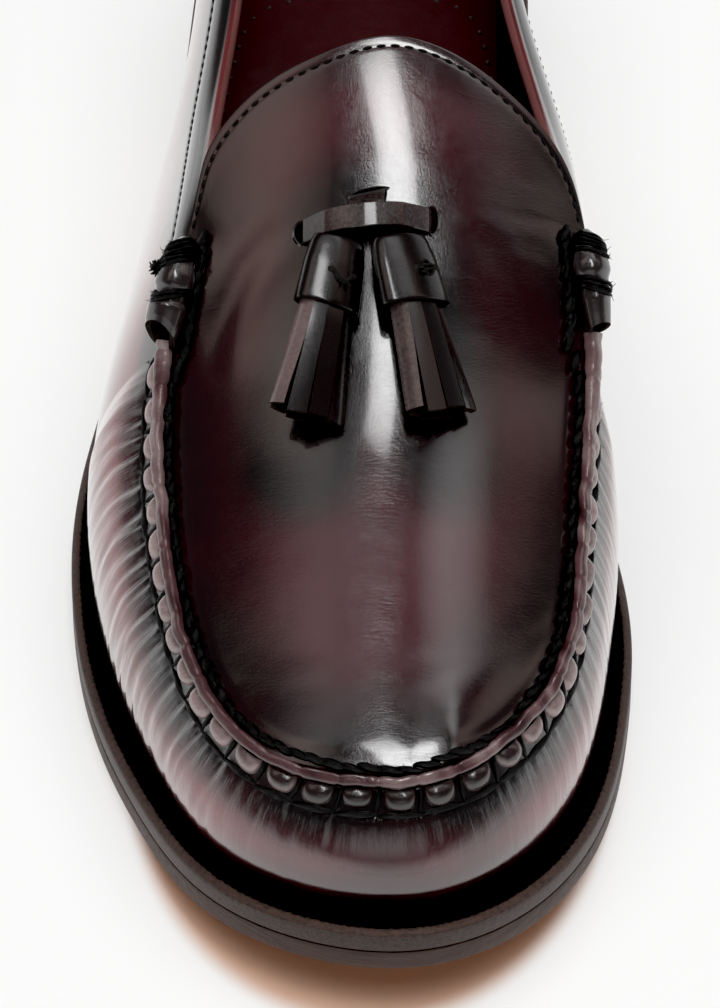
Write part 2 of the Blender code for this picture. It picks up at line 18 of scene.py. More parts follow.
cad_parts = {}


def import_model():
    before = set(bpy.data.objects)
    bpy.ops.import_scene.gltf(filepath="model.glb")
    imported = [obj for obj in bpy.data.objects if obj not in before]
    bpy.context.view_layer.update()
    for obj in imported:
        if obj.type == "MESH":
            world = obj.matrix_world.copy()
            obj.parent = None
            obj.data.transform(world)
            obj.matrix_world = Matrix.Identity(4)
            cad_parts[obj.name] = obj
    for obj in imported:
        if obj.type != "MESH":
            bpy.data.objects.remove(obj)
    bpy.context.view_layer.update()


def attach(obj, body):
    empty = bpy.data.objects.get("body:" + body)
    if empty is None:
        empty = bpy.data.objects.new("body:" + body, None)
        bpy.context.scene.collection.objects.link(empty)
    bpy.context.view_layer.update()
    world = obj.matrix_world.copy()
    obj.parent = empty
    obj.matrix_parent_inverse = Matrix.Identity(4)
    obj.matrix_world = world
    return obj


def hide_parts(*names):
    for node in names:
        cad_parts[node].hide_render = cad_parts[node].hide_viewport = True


Array = np.ndarray
Colour = tuple[float, float, float]
Dice = np.random.Generator
Mesh = bmesh.types.BMesh
Pair = tuple[float, float]
Place = tuple[float, float, float]
Rule = Callable[[Array], Array]
Socket = bpy.types.NodeSocket

MM = 0.001
TURN = 2.0 * math.pi
WELD = 2.0e-6
BODY = "root"
STITCH = 6.8
LOG = logging.getLogger("loafer")


class Slot(Enum):
    """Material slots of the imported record."""

    SOLE = "sole_leather"
    WELT = "welt_leather"
    HEEL = "heel_leather"
    RUBBER = "heel_rubber"
    SOCK = "insole_leather"
    UPPER = "upper_leather"
    TRIM = "trim_leather"


class Side(Enum):
    """Outer and inner side of the foot."""

    LATERAL = "lateral"
    MEDIAL = "medial"


# ---------------------------------------------------------------- tables of the last

class SoleRow(NamedTuple):
    """Sole outline on both sides, welt that shows, and swell of the upper."""

    lateral_across: float
    lateral_along: float
    medial_across: float
    medial_along: float
    margin: float
    lateral_swell: float
    medial_swell: float


class EdgeRow(NamedTuple):
    """Collar or seam on both sides, and where the section meets the ridge."""

    lateral_across: float
    lateral_along: float
    lateral_up: float
    medial_across: float
    medial_along: float
    medial_up: float
    ridge_along: float


class RidgeRow(NamedTuple):
    """Point of the instep's ridge."""

    along: float
    across: float
    up: float


class TongueRow(NamedTuple):
    """Point of the tongue's free edge."""

    turn: float
    across: float
    along: float


class RingRow(NamedTuple):
    """Section of a roll or tassel at a share of its length."""

    share: float
    half_width: float
    half_depth: float


# Heel back to toe front; hundredths of the ball width, the length and the instep, swell in millimetres.
SOLE = [SoleRow(*row) for row in (
    (2.8, 50.0, 2.8, 50.0, 4.2, 3.0, 3.0),
    (-19.2, 46.6, 25.0, 46.6, 4.0, 3.0, 2.8),
    (-29.4, 36.2, 34.6, 36.2, 3.8, 2.6, 2.2),
    (-32.7, 22.1, 34.6, 20.8, 3.6, 2.4, 2.8),
    (-39.7, 8.4, 39.3, 5.0, 4.0, 2.4, 6.2),
    (-47.2, -5.0, 43.9, -8.1, 4.8, 2.2, 2.0),
    (-50.0, -15.1, 49.4, -19.5, 5.6, 3.2, 2.6),
    (-46.3, -26.8, 48.7, -28.9, 6.4, 2.8, 2.4),
    (-36.2, -37.1, 43.1, -38.3, 7.0, 2.6, 2.6),
    (-19.8, -46.1, 29.0, -46.5, 7.2, 2.4, 2.4),
    (6.5, -50.0, 6.5, -50.0, 7.2, 2.4, 2.4),
)]
NOTCH_ROW = 5
EDGE = [EdgeRow(*row) for row in (
    (3.3, 46.6, 89.6, 3.3, 46.6, 89.6, 46.6),
    (-13.1, 43.8, 88.0, 19.2, 43.8, 88.0, 43.8),
    (-20.6, 34.9, 78.6, 26.0, 34.9, 78.6, 34.9),
    (-22.0, 20.8, 69.3, 29.9, 20.1, 69.3, 20.8),
    (-25.7, 5.7, 68.2, 36.9, 5.0, 68.8, 5.7),
    (-28.4, -9.1, 75.5, 41.0, -8.6, 76.0, -7.4),
    (-32.0, -16.8, 59.4, 41.2, -16.8, 60.9, -15.1),
    (-31.0, -26.2, 51.0, 39.1, -26.8, 51.6, -24.2),
    (-25.2, -35.9, 45.8, 34.8, -35.9, 45.8, -31.9),
    (-11.7, -42.3, 43.2, 20.6, -42.3, 43.3, -35.9),
    (5.6, -43.8, 42.7, 5.6, -43.8, 42.7, -37.2),
)]
RIDGE = [RidgeRow(*row) for row in (
    (1.7, 6.1, 100.5), (-3.4, 6.1, 93.2), (-8.4, 6.1, 84.9), (-15.1, 6.1, 74.5), (-21.8, 6.1, 66.1),
    (-28.5, 5.9, 59.9), (-35.2, 5.8, 54.5), (-39.6, 5.6, 50.0),
)]
TONGUE = [TongueRow(*row) for row in (
    (-0.90, -26.6, -6.6), (-0.72, -24.2, -3.9), (-0.50, -16.4, -1.3), (-0.24, -4.9, 0.4), (0.0, 6.1, 1.35),
    (0.24, 16.6, 0.7), (0.50, 26.5, -1.1), (0.72, 34.5, -3.4), (0.90, 39.3, -6.2),
)]


class TrimRow(NamedTuple):
    """Small rise of the apron over the last at a place along the shoe, in millimetres."""

    along: float
    rise: float


# Straightens the apron's profile and rounds it down only close to the toe seam.
APRON_TRIM = [TrimRow(*row) for row in (
    (-50.0, 0.00), (-55.0, -0.02), (-60.0, -0.15), (-66.0, -0.31), (-71.0, -0.41), (-76.0, -0.48),
    (-82.0, -0.59), (-90.0, -0.76), (-100.0, -0.97), (-104.0, -0.96), (-108.0, -0.83), (-111.0, -0.60),
    (-114.0, -0.31), (-117.0, 0.13), (-120.0, 0.69), (-122.0, 1.12), (-124.0, 1.62), (-126.0, 2.12),
    (-128.0, 2.58), (-129.5, 2.86), (-131.0, 2.90),
)]


# ---------------------------------------------------------------- small helpers

def unit(rows: Array) -> Array:
    """Rows of directions brought to length one."""
    return rows / np.maximum(np.linalg.norm(rows, axis=-1, keepdims=True), 1e-12)


def dot(first: Array, second: Array) -> Array:
    """Row by row product of two sets of directions, kept as a column."""
    return np.sum(first * second, axis=-1, keepdims=True)


def ease(low: float, high: float, value: Array) -> Array:
    """Smooth rise from zero at low to one at high."""
    share = np.clip((value - low) / (high - low), 0.0, 1.0)
    return share * share * (3.0 - 2.0 * share)


def bell(value: Array, middle: Array | float, half: Array | float) -> Array:
    """Round hump of height one."""
    return np.exp(-((value - middle) / half) ** 2)


def walked(points: Array) -> Array:
    """Length walked down the rows of a line or grid of points, starting at zero."""
    steps = np.linalg.norm(np.diff(points, axis=0), axis=-1)
    return np.concatenate([np.zeros((1, *steps.shape[1:])), np.cumsum(steps, axis=0)])


def read_line(at: Array | float, knots: Array, line: Array) -> Array:
    """Points or directions on a line of rows, at places between its knots."""
    return np.stack([np.interp(at, knots, part) for part in line.T], axis=-1)


def facing(rows: Array, towards: Array) -> Array:
    """Rows of directions, each turned round where it points away from another."""
    return rows * np.sign(dot(rows, towards))


def read_rows(table: Sequence[RingRow], share: Array) -> tuple[Array, Array]:
    """Half sizes of a table of rings at shares of the length.

    Args:
        table: Rings from one end to the other.
        share: Places along the piece, zero to one.

    Returns:
        Half widths and half depths.
    """
    knots = [row.share for row in table]
    wide = np.interp(share, knots, [row.half_width for row in table])
    deep = np.interp(share, knots, [row.half_depth for row in table])
    return wide, deep


class Curve:
    """Smooth cubic curve through rows of numbers at rising knots."""

    def __init__(self, knots: Sequence[float], rows: Sequence[Sequence[float]], closed: bool = False) -> None:
        """Solve the bends of the curve.

        Args:
            knots: Places of the rows; a closed curve has one knot more than rows.
            rows: Numbers that the curve passes through.
            closed: Whether the last row joins the first.
        """
        self.knots = np.asarray(knots, float)
        self.rows = np.asarray(rows, float)
        self.closed = closed
        count = len(self.rows)
        if closed:
            self.rows = np.vstack([self.rows, self.rows[:1]])
        span = np.diff(self.knots)
        matrix = np.eye(count)
        right = np.zeros((count, self.rows.shape[1]))
        for i in range(count) if closed else range(1, count - 1):
            before, after = span[i - 1], span[i]
            matrix[i] = 0.0
            matrix[i, i - 1] += before
            matrix[i, i] += 2.0 * (before + after)
            matrix[i, (i + 1) % count] += after
            rise = (self.rows[i] - self.rows[i - 1 if i else count - 1]) / before
            right[i] = 6.0 * ((self.rows[i + 1] - self.rows[i]) / after - rise)
        bend = np.linalg.solve(matrix, right)
        self.bend = np.vstack([bend, bend[:1]]) if closed else bend

    def read(self, at: Array) -> Array:
        """Points of the curve.

        Args:
            at: Places along the knots.

        Returns:
            One row for each place.
        """
        at = np.asarray(at, float)
        if self.closed:
            at = at % self.knots[-1]
        span = np.diff(self.knots)
        piece = np.clip(np.searchsorted(self.knots, at, side="right") - 1, 0, len(span) - 1)
        width = span[piece][:, None]
        ahead = (self.knots[piece + 1] - at)[:, None]
        past = (at - self.knots[piece])[:, None]
        bend, rows = self.bend, self.rows
        cubic = (bend[piece] * ahead ** 3 + bend[piece + 1] * past ** 3) / (6.0 * width)
        start = (rows[piece] / width - bend[piece] * width / 6.0) * ahead
        end = (rows[piece + 1] / width - bend[piece + 1] * width / 6.0) * past
        return cubic + start + end


# ---------------------------------------------------------------- shape of the shoe

@dataclass
class Last:
    """Shape that every piece is laid on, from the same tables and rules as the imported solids."""

    length: float = 298.0
    ball_width: float = 107.0
    instep: float = 96.0
    heel: float = 23.0
    toe_spring: float = 12.0
    outsole: float = 5.0
    welt: float = 3.2
    insole: float = 5.0
    top_piece: float = 5.0
    gap: float = 0.3
    wall_thick: float = 2.2
    side_lean: float = 2.0
    roll_length: float = 21.0
    roll_forward: float = 2.0
    spring_share: float = -0.235
    arch_share: float = -0.045
    breast_share: float = 0.255
    breast_rise: float = 0.80
    edge_trim: float = -0.6
    seam_middle: float = 6.0
    toe_middle: float = 7.0
    toe_bend: float = 55.0
    toe_rise: float = 0.45

    def __post_init__(self) -> None:
        """Solve the curves of the tables."""
        lateral = [self.scaled(row.lateral_across, row.lateral_along) for row in SOLE]
        medial = [self.scaled(row.medial_across, row.medial_along) for row in SOLE]
        steps = [0.5 * (np.linalg.norm(lateral[i + 1] - lateral[i])
                        + np.linalg.norm(medial[i + 1] - medial[i])) for i in range(len(SOLE) - 1)]
        self.knots = np.concatenate([[0.0], np.cumsum(steps)])
        self.toe = float(self.knots[-1])
        self.notch = float(self.knots[NOTCH_ROW])
        self.breast = self.breast_share * self.length
        self.breast_at = float(np.interp(-self.breast, [-row[1] for row in lateral], self.knots))
        rise = self.instep / 100.0
        self.outline_curve = self.loop(lateral, medial)
        margins = [[row.margin] for row in SOLE]
        self.margin_curve = self.loop(margins, margins)
        self.swell_curve = self.loop([[row.lateral_swell] for row in SOLE],
                                     [[row.medial_swell] for row in SOLE])
        self.edge_curve = self.loop(
            [(*self.scaled(row.lateral_across, row.lateral_along), row.lateral_up * rise) for row in EDGE],
            [(*self.scaled(row.medial_across, row.medial_along), row.medial_up * rise) for row in EDGE])
        ends = [[row.ridge_along * self.length / 100.0] for row in EDGE]
        self.ridge_end_curve = self.loop(ends, ends)
        self.trim_curve = Curve([-row.along for row in APRON_TRIM], [[row.rise] for row in APRON_TRIM])
        self.ridge_curve = Curve([-row.along * self.length / 100.0 for row in RIDGE],
                                 [(row.across * self.ball_width / 100.0, row.up * rise) for row in RIDGE])

    def scaled(self, across: float, along: float) -> Array:
        """Plan place from hundredths of the ball width and the length."""
        return np.array([across * self.ball_width, along * self.length]) / 100.0

    def loop(self, lateral: Sequence, medial: Sequence) -> Curve:
        """Closed curve: lateral side heel to toe, then medial side toe to heel."""
        knots = np.concatenate([self.knots, 2.0 * self.toe - self.knots[-2::-1]])
        return Curve(knots, list(lateral) + list(medial[-2:0:-1]), closed=True)

    def margin(self, at: Array) -> Array:
        """Welt that shows outside the upper."""
        return self.margin_curve.read(at)[:, 0]

    def outline(self, at: Array, inward: Array | float = 0.0) -> tuple[Array, Array]:
        """Sole outline moved inward.

        Args:
            at: Distances round the sole.
            inward: Distance in from the outline.

        Returns:
            Plan places and outward directions.
        """
        at = np.asarray(at, float)
        run = unit(self.outline_curve.read(at + 0.5) - self.outline_curve.read(at - 0.5))
        outward = np.stack([run[:, 1], -run[:, 0]], axis=1)
        return self.outline_curve.read(at) - outward * np.broadcast_to(inward, at.shape)[:, None], outward

    def tread(self, along: Array) -> Array:
        """Height of the outsole's underside along the shoe.

        Args:
            along: Places along the shoe.

        Returns:
            Heights.
        """
        half = self.length / 2.0
        spring_start = self.spring_share * self.length
        arch_start = self.arch_share * self.length
        breast_height = self.breast_rise * self.heel
        spring = np.clip((spring_start - along) / (spring_start + half), 0.0, 1.0)
        arch = np.clip((along - arch_start) / (self.breast - arch_start), 0.0, 1.0)
        seat = np.clip((along - self.breast) / (half - self.breast), 0.0, 1.0)
        step = self.heel - breast_height
        pitch = step * (self.breast - arch_start) / (half - self.breast)
        return (self.toe_spring * spring ** 2 + breast_height * arch ** 2 * (3.0 - 2.0 * arch)
                + pitch * arch ** 2 * (arch - 1.0) + step * seat)

    def raised(self, plan: Array, up: float) -> Array:
        """Plan places lifted above the outsole's underside."""
        return np.column_stack([plan, self.tread(plan[:, 1]) + up])

    def outward(self, at: Array) -> Array:
        """Level directions off the shoe."""
        return np.column_stack([self.outline(at)[1], np.zeros(len(at))])

    def seam(self, at: Array) -> Array:
        """Collar or moccasin seam."""
        return self.edge_curve.read(at)

    def seam_way(self, at: Array) -> Array:
        """Directions along the collar or seam."""
        return unit(self.seam(at + 0.4) - self.seam(at - 0.4))

    def flank(self, at: Array, reach: float = 30.0) -> Array:
        """Way of the seam round to the sides: minus one lateral, zero at the toe, one medial."""
        return np.clip((self.seam(at)[:, 0] - self.seam_middle) / reach, -1.0, 1.0)

    def ridge(self, along: Array) -> tuple[Array, Array]:
        """Ridge of the instep.

        Args:
            along: Places along the shoe.

        Returns:
            Points of the ridge and its slope there.
        """
        along = np.asarray(along, float)
        here = self.ridge_curve.read(-along)
        slope = self.ridge_curve.read(-along - 0.5)[:, 1] - self.ridge_curve.read(-along + 0.5)[:, 1]
        return np.column_stack([here[:, 0], along, here[:, 1]]), slope

    def ridge_end(self, at: Array) -> tuple[Array, Array]:
        """Ridge point and slope where the section at a loop distance ends."""
        return self.ridge(self.ridge_end_curve.read(at)[:, 0])

    def apron_width(self, at: Array) -> Array:
        """Plan distance from the seam to the ridge along a section."""
        return np.linalg.norm((self.ridge_end(at)[0] - self.seam(at))[:, :2], axis=1)

    def wall(self, at: Array, share: Array | float) -> Array:
        """Outer face of the side: share zero at the welt, one at the seam or collar.

        Args:
            at: Distances round the loop.
            share: Height on the side, zero to one.

        Returns:
            One point for each distance.
        """
        plan, outward = self.outline(at, self.margin(at))
        foot = self.raised(plan, self.outsole + self.welt + 2.0 * self.gap)
        edge = self.seam(at)
        share = np.broadcast_to(share, at.shape)[:, None]
        point = foot.copy()
        point[:, 2:] += (edge - foot)[:, 2:] * share
        point[:, :2] += (edge - foot)[:, :2] * share ** self.side_lean
        point[:, :2] += outward * self.swell_curve.read(at) * 4.0 * share * (1.0 - share)
        return point

    def apron(self, at: Array, share: Array | float) -> Array:
        """Outer face of the apron: share zero at the seam, one at the ridge.

        Args:
            at: Distances round the loop.
            share: Way to the ridge, zero to one.

        Returns:
            One point for each distance.
        """
        edge = self.seam(at)
        top, slope = self.ridge_end(at)
        share = np.broadcast_to(share, at.shape)[:, None]
        rise = (top - edge)[:, 2:]
        end = ((top - edge)[:, 1] * slope)[:, None]
        point = edge + (top - edge) * share
        point[:, 2:] = edge[:, 2:] + (2.0 * rise - end) * share + (end - rise) * share ** 2
        return point

    def dressed(self, at: Array, share: Array | float) -> Array:
        """Apron with the small rises of the trim table.

        Args:
            at: Distances round the loop.
            share: Way to the ridge, zero to one.

        Returns:
            One point for each distance.
        """
        point = self.apron(at, share)
        off = point[:, 0] - self.toe_middle
        bend = np.maximum(off, 0.0) ** 2 / self.toe_bend
        along = np.clip(bend - point[:, 1], -APRON_TRIM[0].along, -APRON_TRIM[-1].along)
        trim = self.trim_curve.read(along)[:, 0]
        flat = 1.0 - ease(10.5, 22.0, off)
        trim = trim - 0.6 * np.log1p(np.exp(trim / 0.6)) * (1.0 - flat) * ease(96.0, 112.0, along)
        edge = np.maximum(trim, self.edge_trim)
        point[:, 2] += edge + (trim - edge) * ease(0.0, 12.0, share * self.apron_width(at))
        point[:, 2] += self.toe_rise * ease(112.0, 122.0, along) * ease(4.0, 12.0, off) * flat
        return point

    def tongue(self, turn: Array, depth: Array | float) -> Array:
        """Outer face of the tongue: depth zero at the notch section, one at the free edge.

        Args:
            turn: Minus one on the lateral seam, zero on the ridge, one on the medial seam.
            depth: Way to the free edge, zero to one.

        Returns:
            One point for each turn.
        """
        turn = np.asarray(turn, float)
        depth = np.broadcast_to(depth, turn.shape)
        at = np.where(turn < 0.0, self.notch, 2.0 * self.toe - self.notch)
        front = self.apron(at, 1.0 - np.abs(turn))
        ends = self.seam(np.array([self.notch, 2.0 * self.toe - self.notch]))
        rows = [ends[0, :2]] + [self.scaled(row.across, row.along) for row in TONGUE] + [ends[1, :2]]
        free = Curve([-1.0] + [row.turn for row in TONGUE] + [1.0], rows).read(turn)
        plan = front[:, :2] * (1.0 - depth)[:, None] + free * depth[:, None]
        corner = np.where((turn < 0.0)[:, None], ends[0], ends[1])
        corner_top = self.ridge(corner[:, 1])[0]

        def crown(place: Array) -> Array:
            """Height of the rounded instep over a plan place.

            Args:
                place: Plan places.

            Returns:
                Heights.
            """
            top = self.ridge(place[:, 1])[0]
            off = (place[:, 0] - top[:, 0]) / (corner[:, 0] - corner_top[:, 0])
            return top[:, 2] - (corner_top[:, 2] - corner[:, 2]) * off ** 2

        height = crown(plan) + (1.0 - depth) * (front[:, 2] - crown(front[:, :2]))
        return np.column_stack([plan, height])

    def gathered(self, at: Array) -> Array:
        """One where the seam stands up round the toe, fading to zero under the rolls.

        Args:
            at: Distances round the loop.

        Returns:
            Numbers from zero to one.
        """
        at = np.asarray(at, float) % (2.0 * self.toe)
        past = self.toe - np.abs(at - self.toe) - self.notch
        return np.clip((past - self.roll_forward - self.roll_length) / 8.0, 0.0, 1.0)


class Frame(NamedTuple):
    """Places along a line, each with its own directions."""

    point: Array
    ahead: Array
    side: Array
    up: Array


class SeamLine:
    """Stitch places along the moccasin seam, from the lateral notch round the toe to the medial notch."""

    def __init__(self, last: Last, pitch: float) -> None:
        """Walk the seam and share it into stitches.

        Args:
            last: Shape of the shoe.
            pitch: Wanted length of a stitch.
        """
        self.last = last
        self.at = np.linspace(last.notch, 2.0 * last.toe - last.notch, 4001)
        self.run = walked(last.seam(self.at))
        self.count = round(self.run[-1] / pitch)
        self.pitch = self.run[-1] / self.count

    def run_of(self, at: Array) -> Array:
        """Length walked from the lateral notch."""
        return np.interp(at, self.at, self.run)

    def at_run(self, run: Array) -> Array:
        """Loop distance at a length walked."""
        return np.interp(run, self.run, self.at)

    def frame(self, at: Array) -> Frame:
        """Crest of the seam with directions along it, towards the apron, and out of the fold.

        Args:
            at: Distances round the loop.

        Returns:
            The crest and its directions.
        """
        point = self.last.seam(at)
        ahead = self.last.seam_way(at)
        inner = unit(self.last.apron(at, 0.08) - point)
        down = unit(self.last.wall(at, 0.93) - point)
        inner = unit(inner - ahead * dot(inner, ahead))
        down = unit(down - ahead * dot(down, ahead))
        up = unit(-(inner + down))
        return Frame(point, ahead, facing(np.cross(ahead, up), inner), up)

    def bed(self, at: Array, inward: Array | float) -> tuple[Array, Array]:
        """Apron's face beside the seam.

        Args:
            at: Loop distances.
            inward: Distance from the seam towards the ridge.

        Returns:
            Points and the face's directions outward.
        """
        share = inward / self.last.apron_width(at)
        point = self.last.dressed(at, share)
        ahead = self.last.dressed(at + 0.4, share) - self.last.dressed(at - 0.4, share)
        out = unit(np.cross(ahead, self.last.dressed(at, share + 0.03) - point))
        return point, out * np.sign(out[:, 2:])


# ---------------------------------------------------------------- meshes

def lay_grid(bm: Mesh, points: Array, **layers: Array) -> list:
    """Grid of quads laid over points.

    Args:
        bm: Mesh that gets the grid.
        points: Rows by columns of places in millimetres.
        **layers: Numbers by row and column, kept on the vertices under their names.

    Returns:
        The new faces, row by row.
    """
    rows, columns = points.shape[:2]
    first = len(bm.faces)
    keep = [(bm.verts.layers.float.get(name) or bm.verts.layers.float.new(name), values)
            for name, values in layers.items()]
    made = bmesh.ops.create_grid(bm, x_segments=columns - 1, y_segments=rows - 1, size=0.5)["verts"]
    for vert in made:
        i = round((vert.co.y + 0.5) * (rows - 1))
        j = round((vert.co.x + 0.5) * (columns - 1))
        vert.co = points[i, j] * MM
        for layer, values in keep:
            vert[layer] = values[i, j]
    bm.faces.ensure_lookup_table()
    return bm.faces[first:]


def weld(bm: Mesh) -> None:
    """Join touching corners, drop what has no area, and turn the faces outward.

    Args:
        bm: Mesh to clean.
    """
    bmesh.ops.remove_doubles(bm, verts=bm.verts[:], dist=WELD)
    bmesh.ops.dissolve_degenerate(bm, edges=bm.edges[:], dist=WELD / 4.0)
    bmesh.ops.recalc_face_normals(bm, faces=bm.faces[:])


def close_ends(bm: Mesh) -> None:
    """Fill the open ends of a tube and turn the faces outward.

    Args:
        bm: Mesh of the tube.
    """
    rim = [edge for edge in bm.edges if edge.is_boundary]
    bmesh.ops.holes_fill(bm, edges=rim, sides=0)
    bmesh.ops.recalc_face_normals(bm, faces=bm.faces[:])


def close_tubes(bm: Mesh) -> None:
    """Join the long edges of tubes, then close their ends."""
    bmesh.ops.remove_doubles(bm, verts=bm.verts[:], dist=WELD)
    close_ends(bm)


def second_finish(faces: Sequence, picked: Callable[[int], bool]) -> None:
    """Give the second finish to the faces whose number a rule picks."""
    for i, face in enumerate(faces):
        face.material_index = int(picked(i))


def reshape(verts: Sequence, rule: Rule) -> None:
    """Move vertices of a made shape by a rule from its own places to millimetres.

    Args:
        verts: Vertices of the shape.
        rule: New places from the old ones.
    """
    places = rule(np.array([vert.co for vert in verts]))
    for vert, place in zip(verts, places):
        vert.co = place * MM


def face_normals(points: Array, towards: Array) -> Array:
    """Directions out of a grid of points that closes on itself across its columns.

    Args:
        points: Rows by columns of places, without the closing column.
        towards: Rough outward direction of each column.

    Returns:
        Unit directions, rows by columns.
    """
    ahead = np.roll(points, -1, axis=1) - np.roll(points, 1, axis=1)
    out = unit(np.cross(ahead, np.gradient(points, axis=0)))
    return out * np.sign(np.sum(dot(out, towards[None])))


def add_tube(bm: Mesh, path: Frame, wide: Array, deep: Array, around: int,
             ripple: Array | float = 0.0) -> list:
    """Tube along a path, open at its ends.

    Args:
        bm: Mesh that gets the tube.
        path: Middle line with its directions.
        wide: Half sizes along the path's side direction.
        deep: Half sizes along its up direction.
        around: Number of faces round the tube.
        ripple: Share added to the half sizes, by row and angle.

    Returns:
        The new faces.
    """
    angle = np.linspace(0.0, TURN, around + 1)
    swell = 1.0 + np.broadcast_to(ripple, (len(wide), around + 1))
    across = np.cos(angle) * wide[:, None] * swell
    through = np.sin(angle) * deep[:, None] * swell
    points = (path.point[:, None] + path.side[:, None] * across[..., None]
              + path.up[:, None] * through[..., None])
    return lay_grid(bm, points)


def path_frame(points: Array, up: Array) -> Frame:
    """Directions along a line of points that keep near a given up direction.

    Args:
        points: Places along the line.
        up: Wanted direction.

    Returns:
        The line and its directions.
    """
    ahead = unit(np.gradient(points, axis=0))
    side = unit(np.cross(np.broadcast_to(up, points.shape), ahead))
    return Frame(points, ahead, side, np.cross(ahead, side))


def add_spindle(bm: Mesh, start: Array, end: Array, up: Array, wide: float, deep: float,
                phase: float) -> None:
    """One waxed stitch: a twisted seed lying from start to end.

    Args:
        bm: Mesh that gets the stitch.
        start: Place where the thread comes out.
        end: Place where it goes in.
        up: Direction out of the leather.
        wide: Half width.
        deep: Half thickness.
        phase: Where its twist begins.
    """
    made = bmesh.ops.create_uvsphere(bm, u_segments=12, v_segments=13, radius=1.0)["verts"]
    ahead = unit(end - start)
    side = unit(np.cross(up, ahead))
    rise = np.cross(ahead, side)
    half = 0.5 * np.linalg.norm(end - start)

    def rule(place: Array) -> Array:
        """Stretch the ball along the thread and twist its plies.

        Args:
            place: Places on the ball.

        Returns:
            Places on the stitch.
        """
        along = np.clip(place[:, 2:], -1.0, 1.0)
        angle = np.arctan2(place[:, 1:2], place[:, :1])
        full = (1.0 - np.abs(along) ** 2.4) ** 0.62
        ply = 1.0 + 0.13 * np.cos(3.0 * angle + 4.2 * along + phase)
        bow = 0.25 * deep * (1.0 - along ** 2)
        return (0.5 * (start + end) + ahead * along * half + side * np.cos(angle) * full * ply * wide
                + rise * (np.sin(angle) * full * ply * deep + bow))

    reshape(made, rule)


def add_stitch(bm: Mesh, middle: Array, ahead: Array, up: Array, half: float, thick: float) -> None:
    """One lock stitch: a short plump grain of thread.

    Args:
        bm: Mesh that gets the stitch.
        middle: Its place on the leather.
        ahead: Direction of the stitch line.
        up: Direction out of the leather.
        half: Half length.
        thick: Half thickness.
    """
    made = bmesh.ops.create_uvsphere(bm, u_segments=7, v_segments=6, radius=1.0)["verts"]
    side = np.cross(up, ahead)

    def rule(place: Array) -> Array:
        """Stretch the ball along the stitch line and sink its ends.

        Args:
            place: Places on the ball.

        Returns:
            Places on the stitch.
        """
        sink = -0.75 * thick * place[:, 2:] ** 2
        return (middle + ahead * place[:, 2:] * half + side * place[:, :1] * thick
                + up * (place[:, 1:2] * thick * 0.85 + sink))

    reshape(made, rule)


def add_hair(bm: Mesh, root: Array, way: Array, reach: float, thick: float, dice: Dice) -> None:
    """One loose fibre, bent and running to a point.

    Args:
        bm: Mesh that gets the fibre.
        root: Where it starts.
        way: Direction that it sets out in.
        reach: Its length.
        thick: Half thickness at the root.
        dice: Source of its bend.
    """
    along = np.linspace(0.0, 1.0, 6)[:, None]
    bend = dice.uniform(-0.55, 0.55, 3)
    path = root + (unit(way) * along + bend * along ** 2) * reach
    size = np.linspace(thick, 0.35 * thick, len(along))
    add_tube(bm, path_frame(path, np.array([0.13, 0.31, 0.94])), size, size, 4)


# ---------------------------------------------------------------- finishes

class Wiring:
    """Hand for wiring the nodes of a material, a lamp or the surroundings."""

    def __init__(self, tree: bpy.types.NodeTree) -> None:
        """Take hold of the nodes."""
        self.tree = tree

    def add(self, kind: str, **inputs: object) -> bpy.types.Node:
        """New node.

        Args:
            kind: Blender's name of the node.
            **inputs: Sockets to fill by name (underscores stand for spaces), each a value or another socket.

        Returns:
            The node.
        """
        node = self.tree.nodes.new(kind)
        for name, value in inputs.items():
            self.fill(node.inputs[name.replace("_", " ")], value)
        return node

    def fill(self, socket: Socket, value: object) -> None:
        """Set a socket to a value, or link another socket to it.

        Args:
            socket: Socket to fill.
            value: A value or another socket.
        """
        if isinstance(value, Socket):
            self.tree.links.new(value, socket)
        else:
            socket.default_value = value

    def maths(self, operation: str, first: object, second: object) -> Socket:
        """Sum, product or other rule of two numbers.

        Args:
            operation: Blender's name of the rule.
            first: First number or socket.
            second: Second number or socket.

        Returns:
            The result.
        """
        node = self.tree.nodes.new("ShaderNodeMath")
        node.operation = operation
        self.fill(node.inputs[0], first)
        self.fill(node.inputs[1], second)
        return node.outputs[0]

    def ramp(self, value: Socket, *stops: tuple[float, Colour]) -> Socket:
        """Colours blended along a number.

        Args:
            value: Number to read.
            *stops: Places and their colours.

        Returns:
            The colour.
        """
        node = self.add("ShaderNodeValToRGB", Fac=value)
        bar = node.color_ramp.elements
        while len(bar) < len(stops):
            bar.new(0.5)
        for element, (place, colour) in zip(bar, stops):
            element.position = place
            element.color = (*colour, 1.0)
        return node.outputs["Color"]


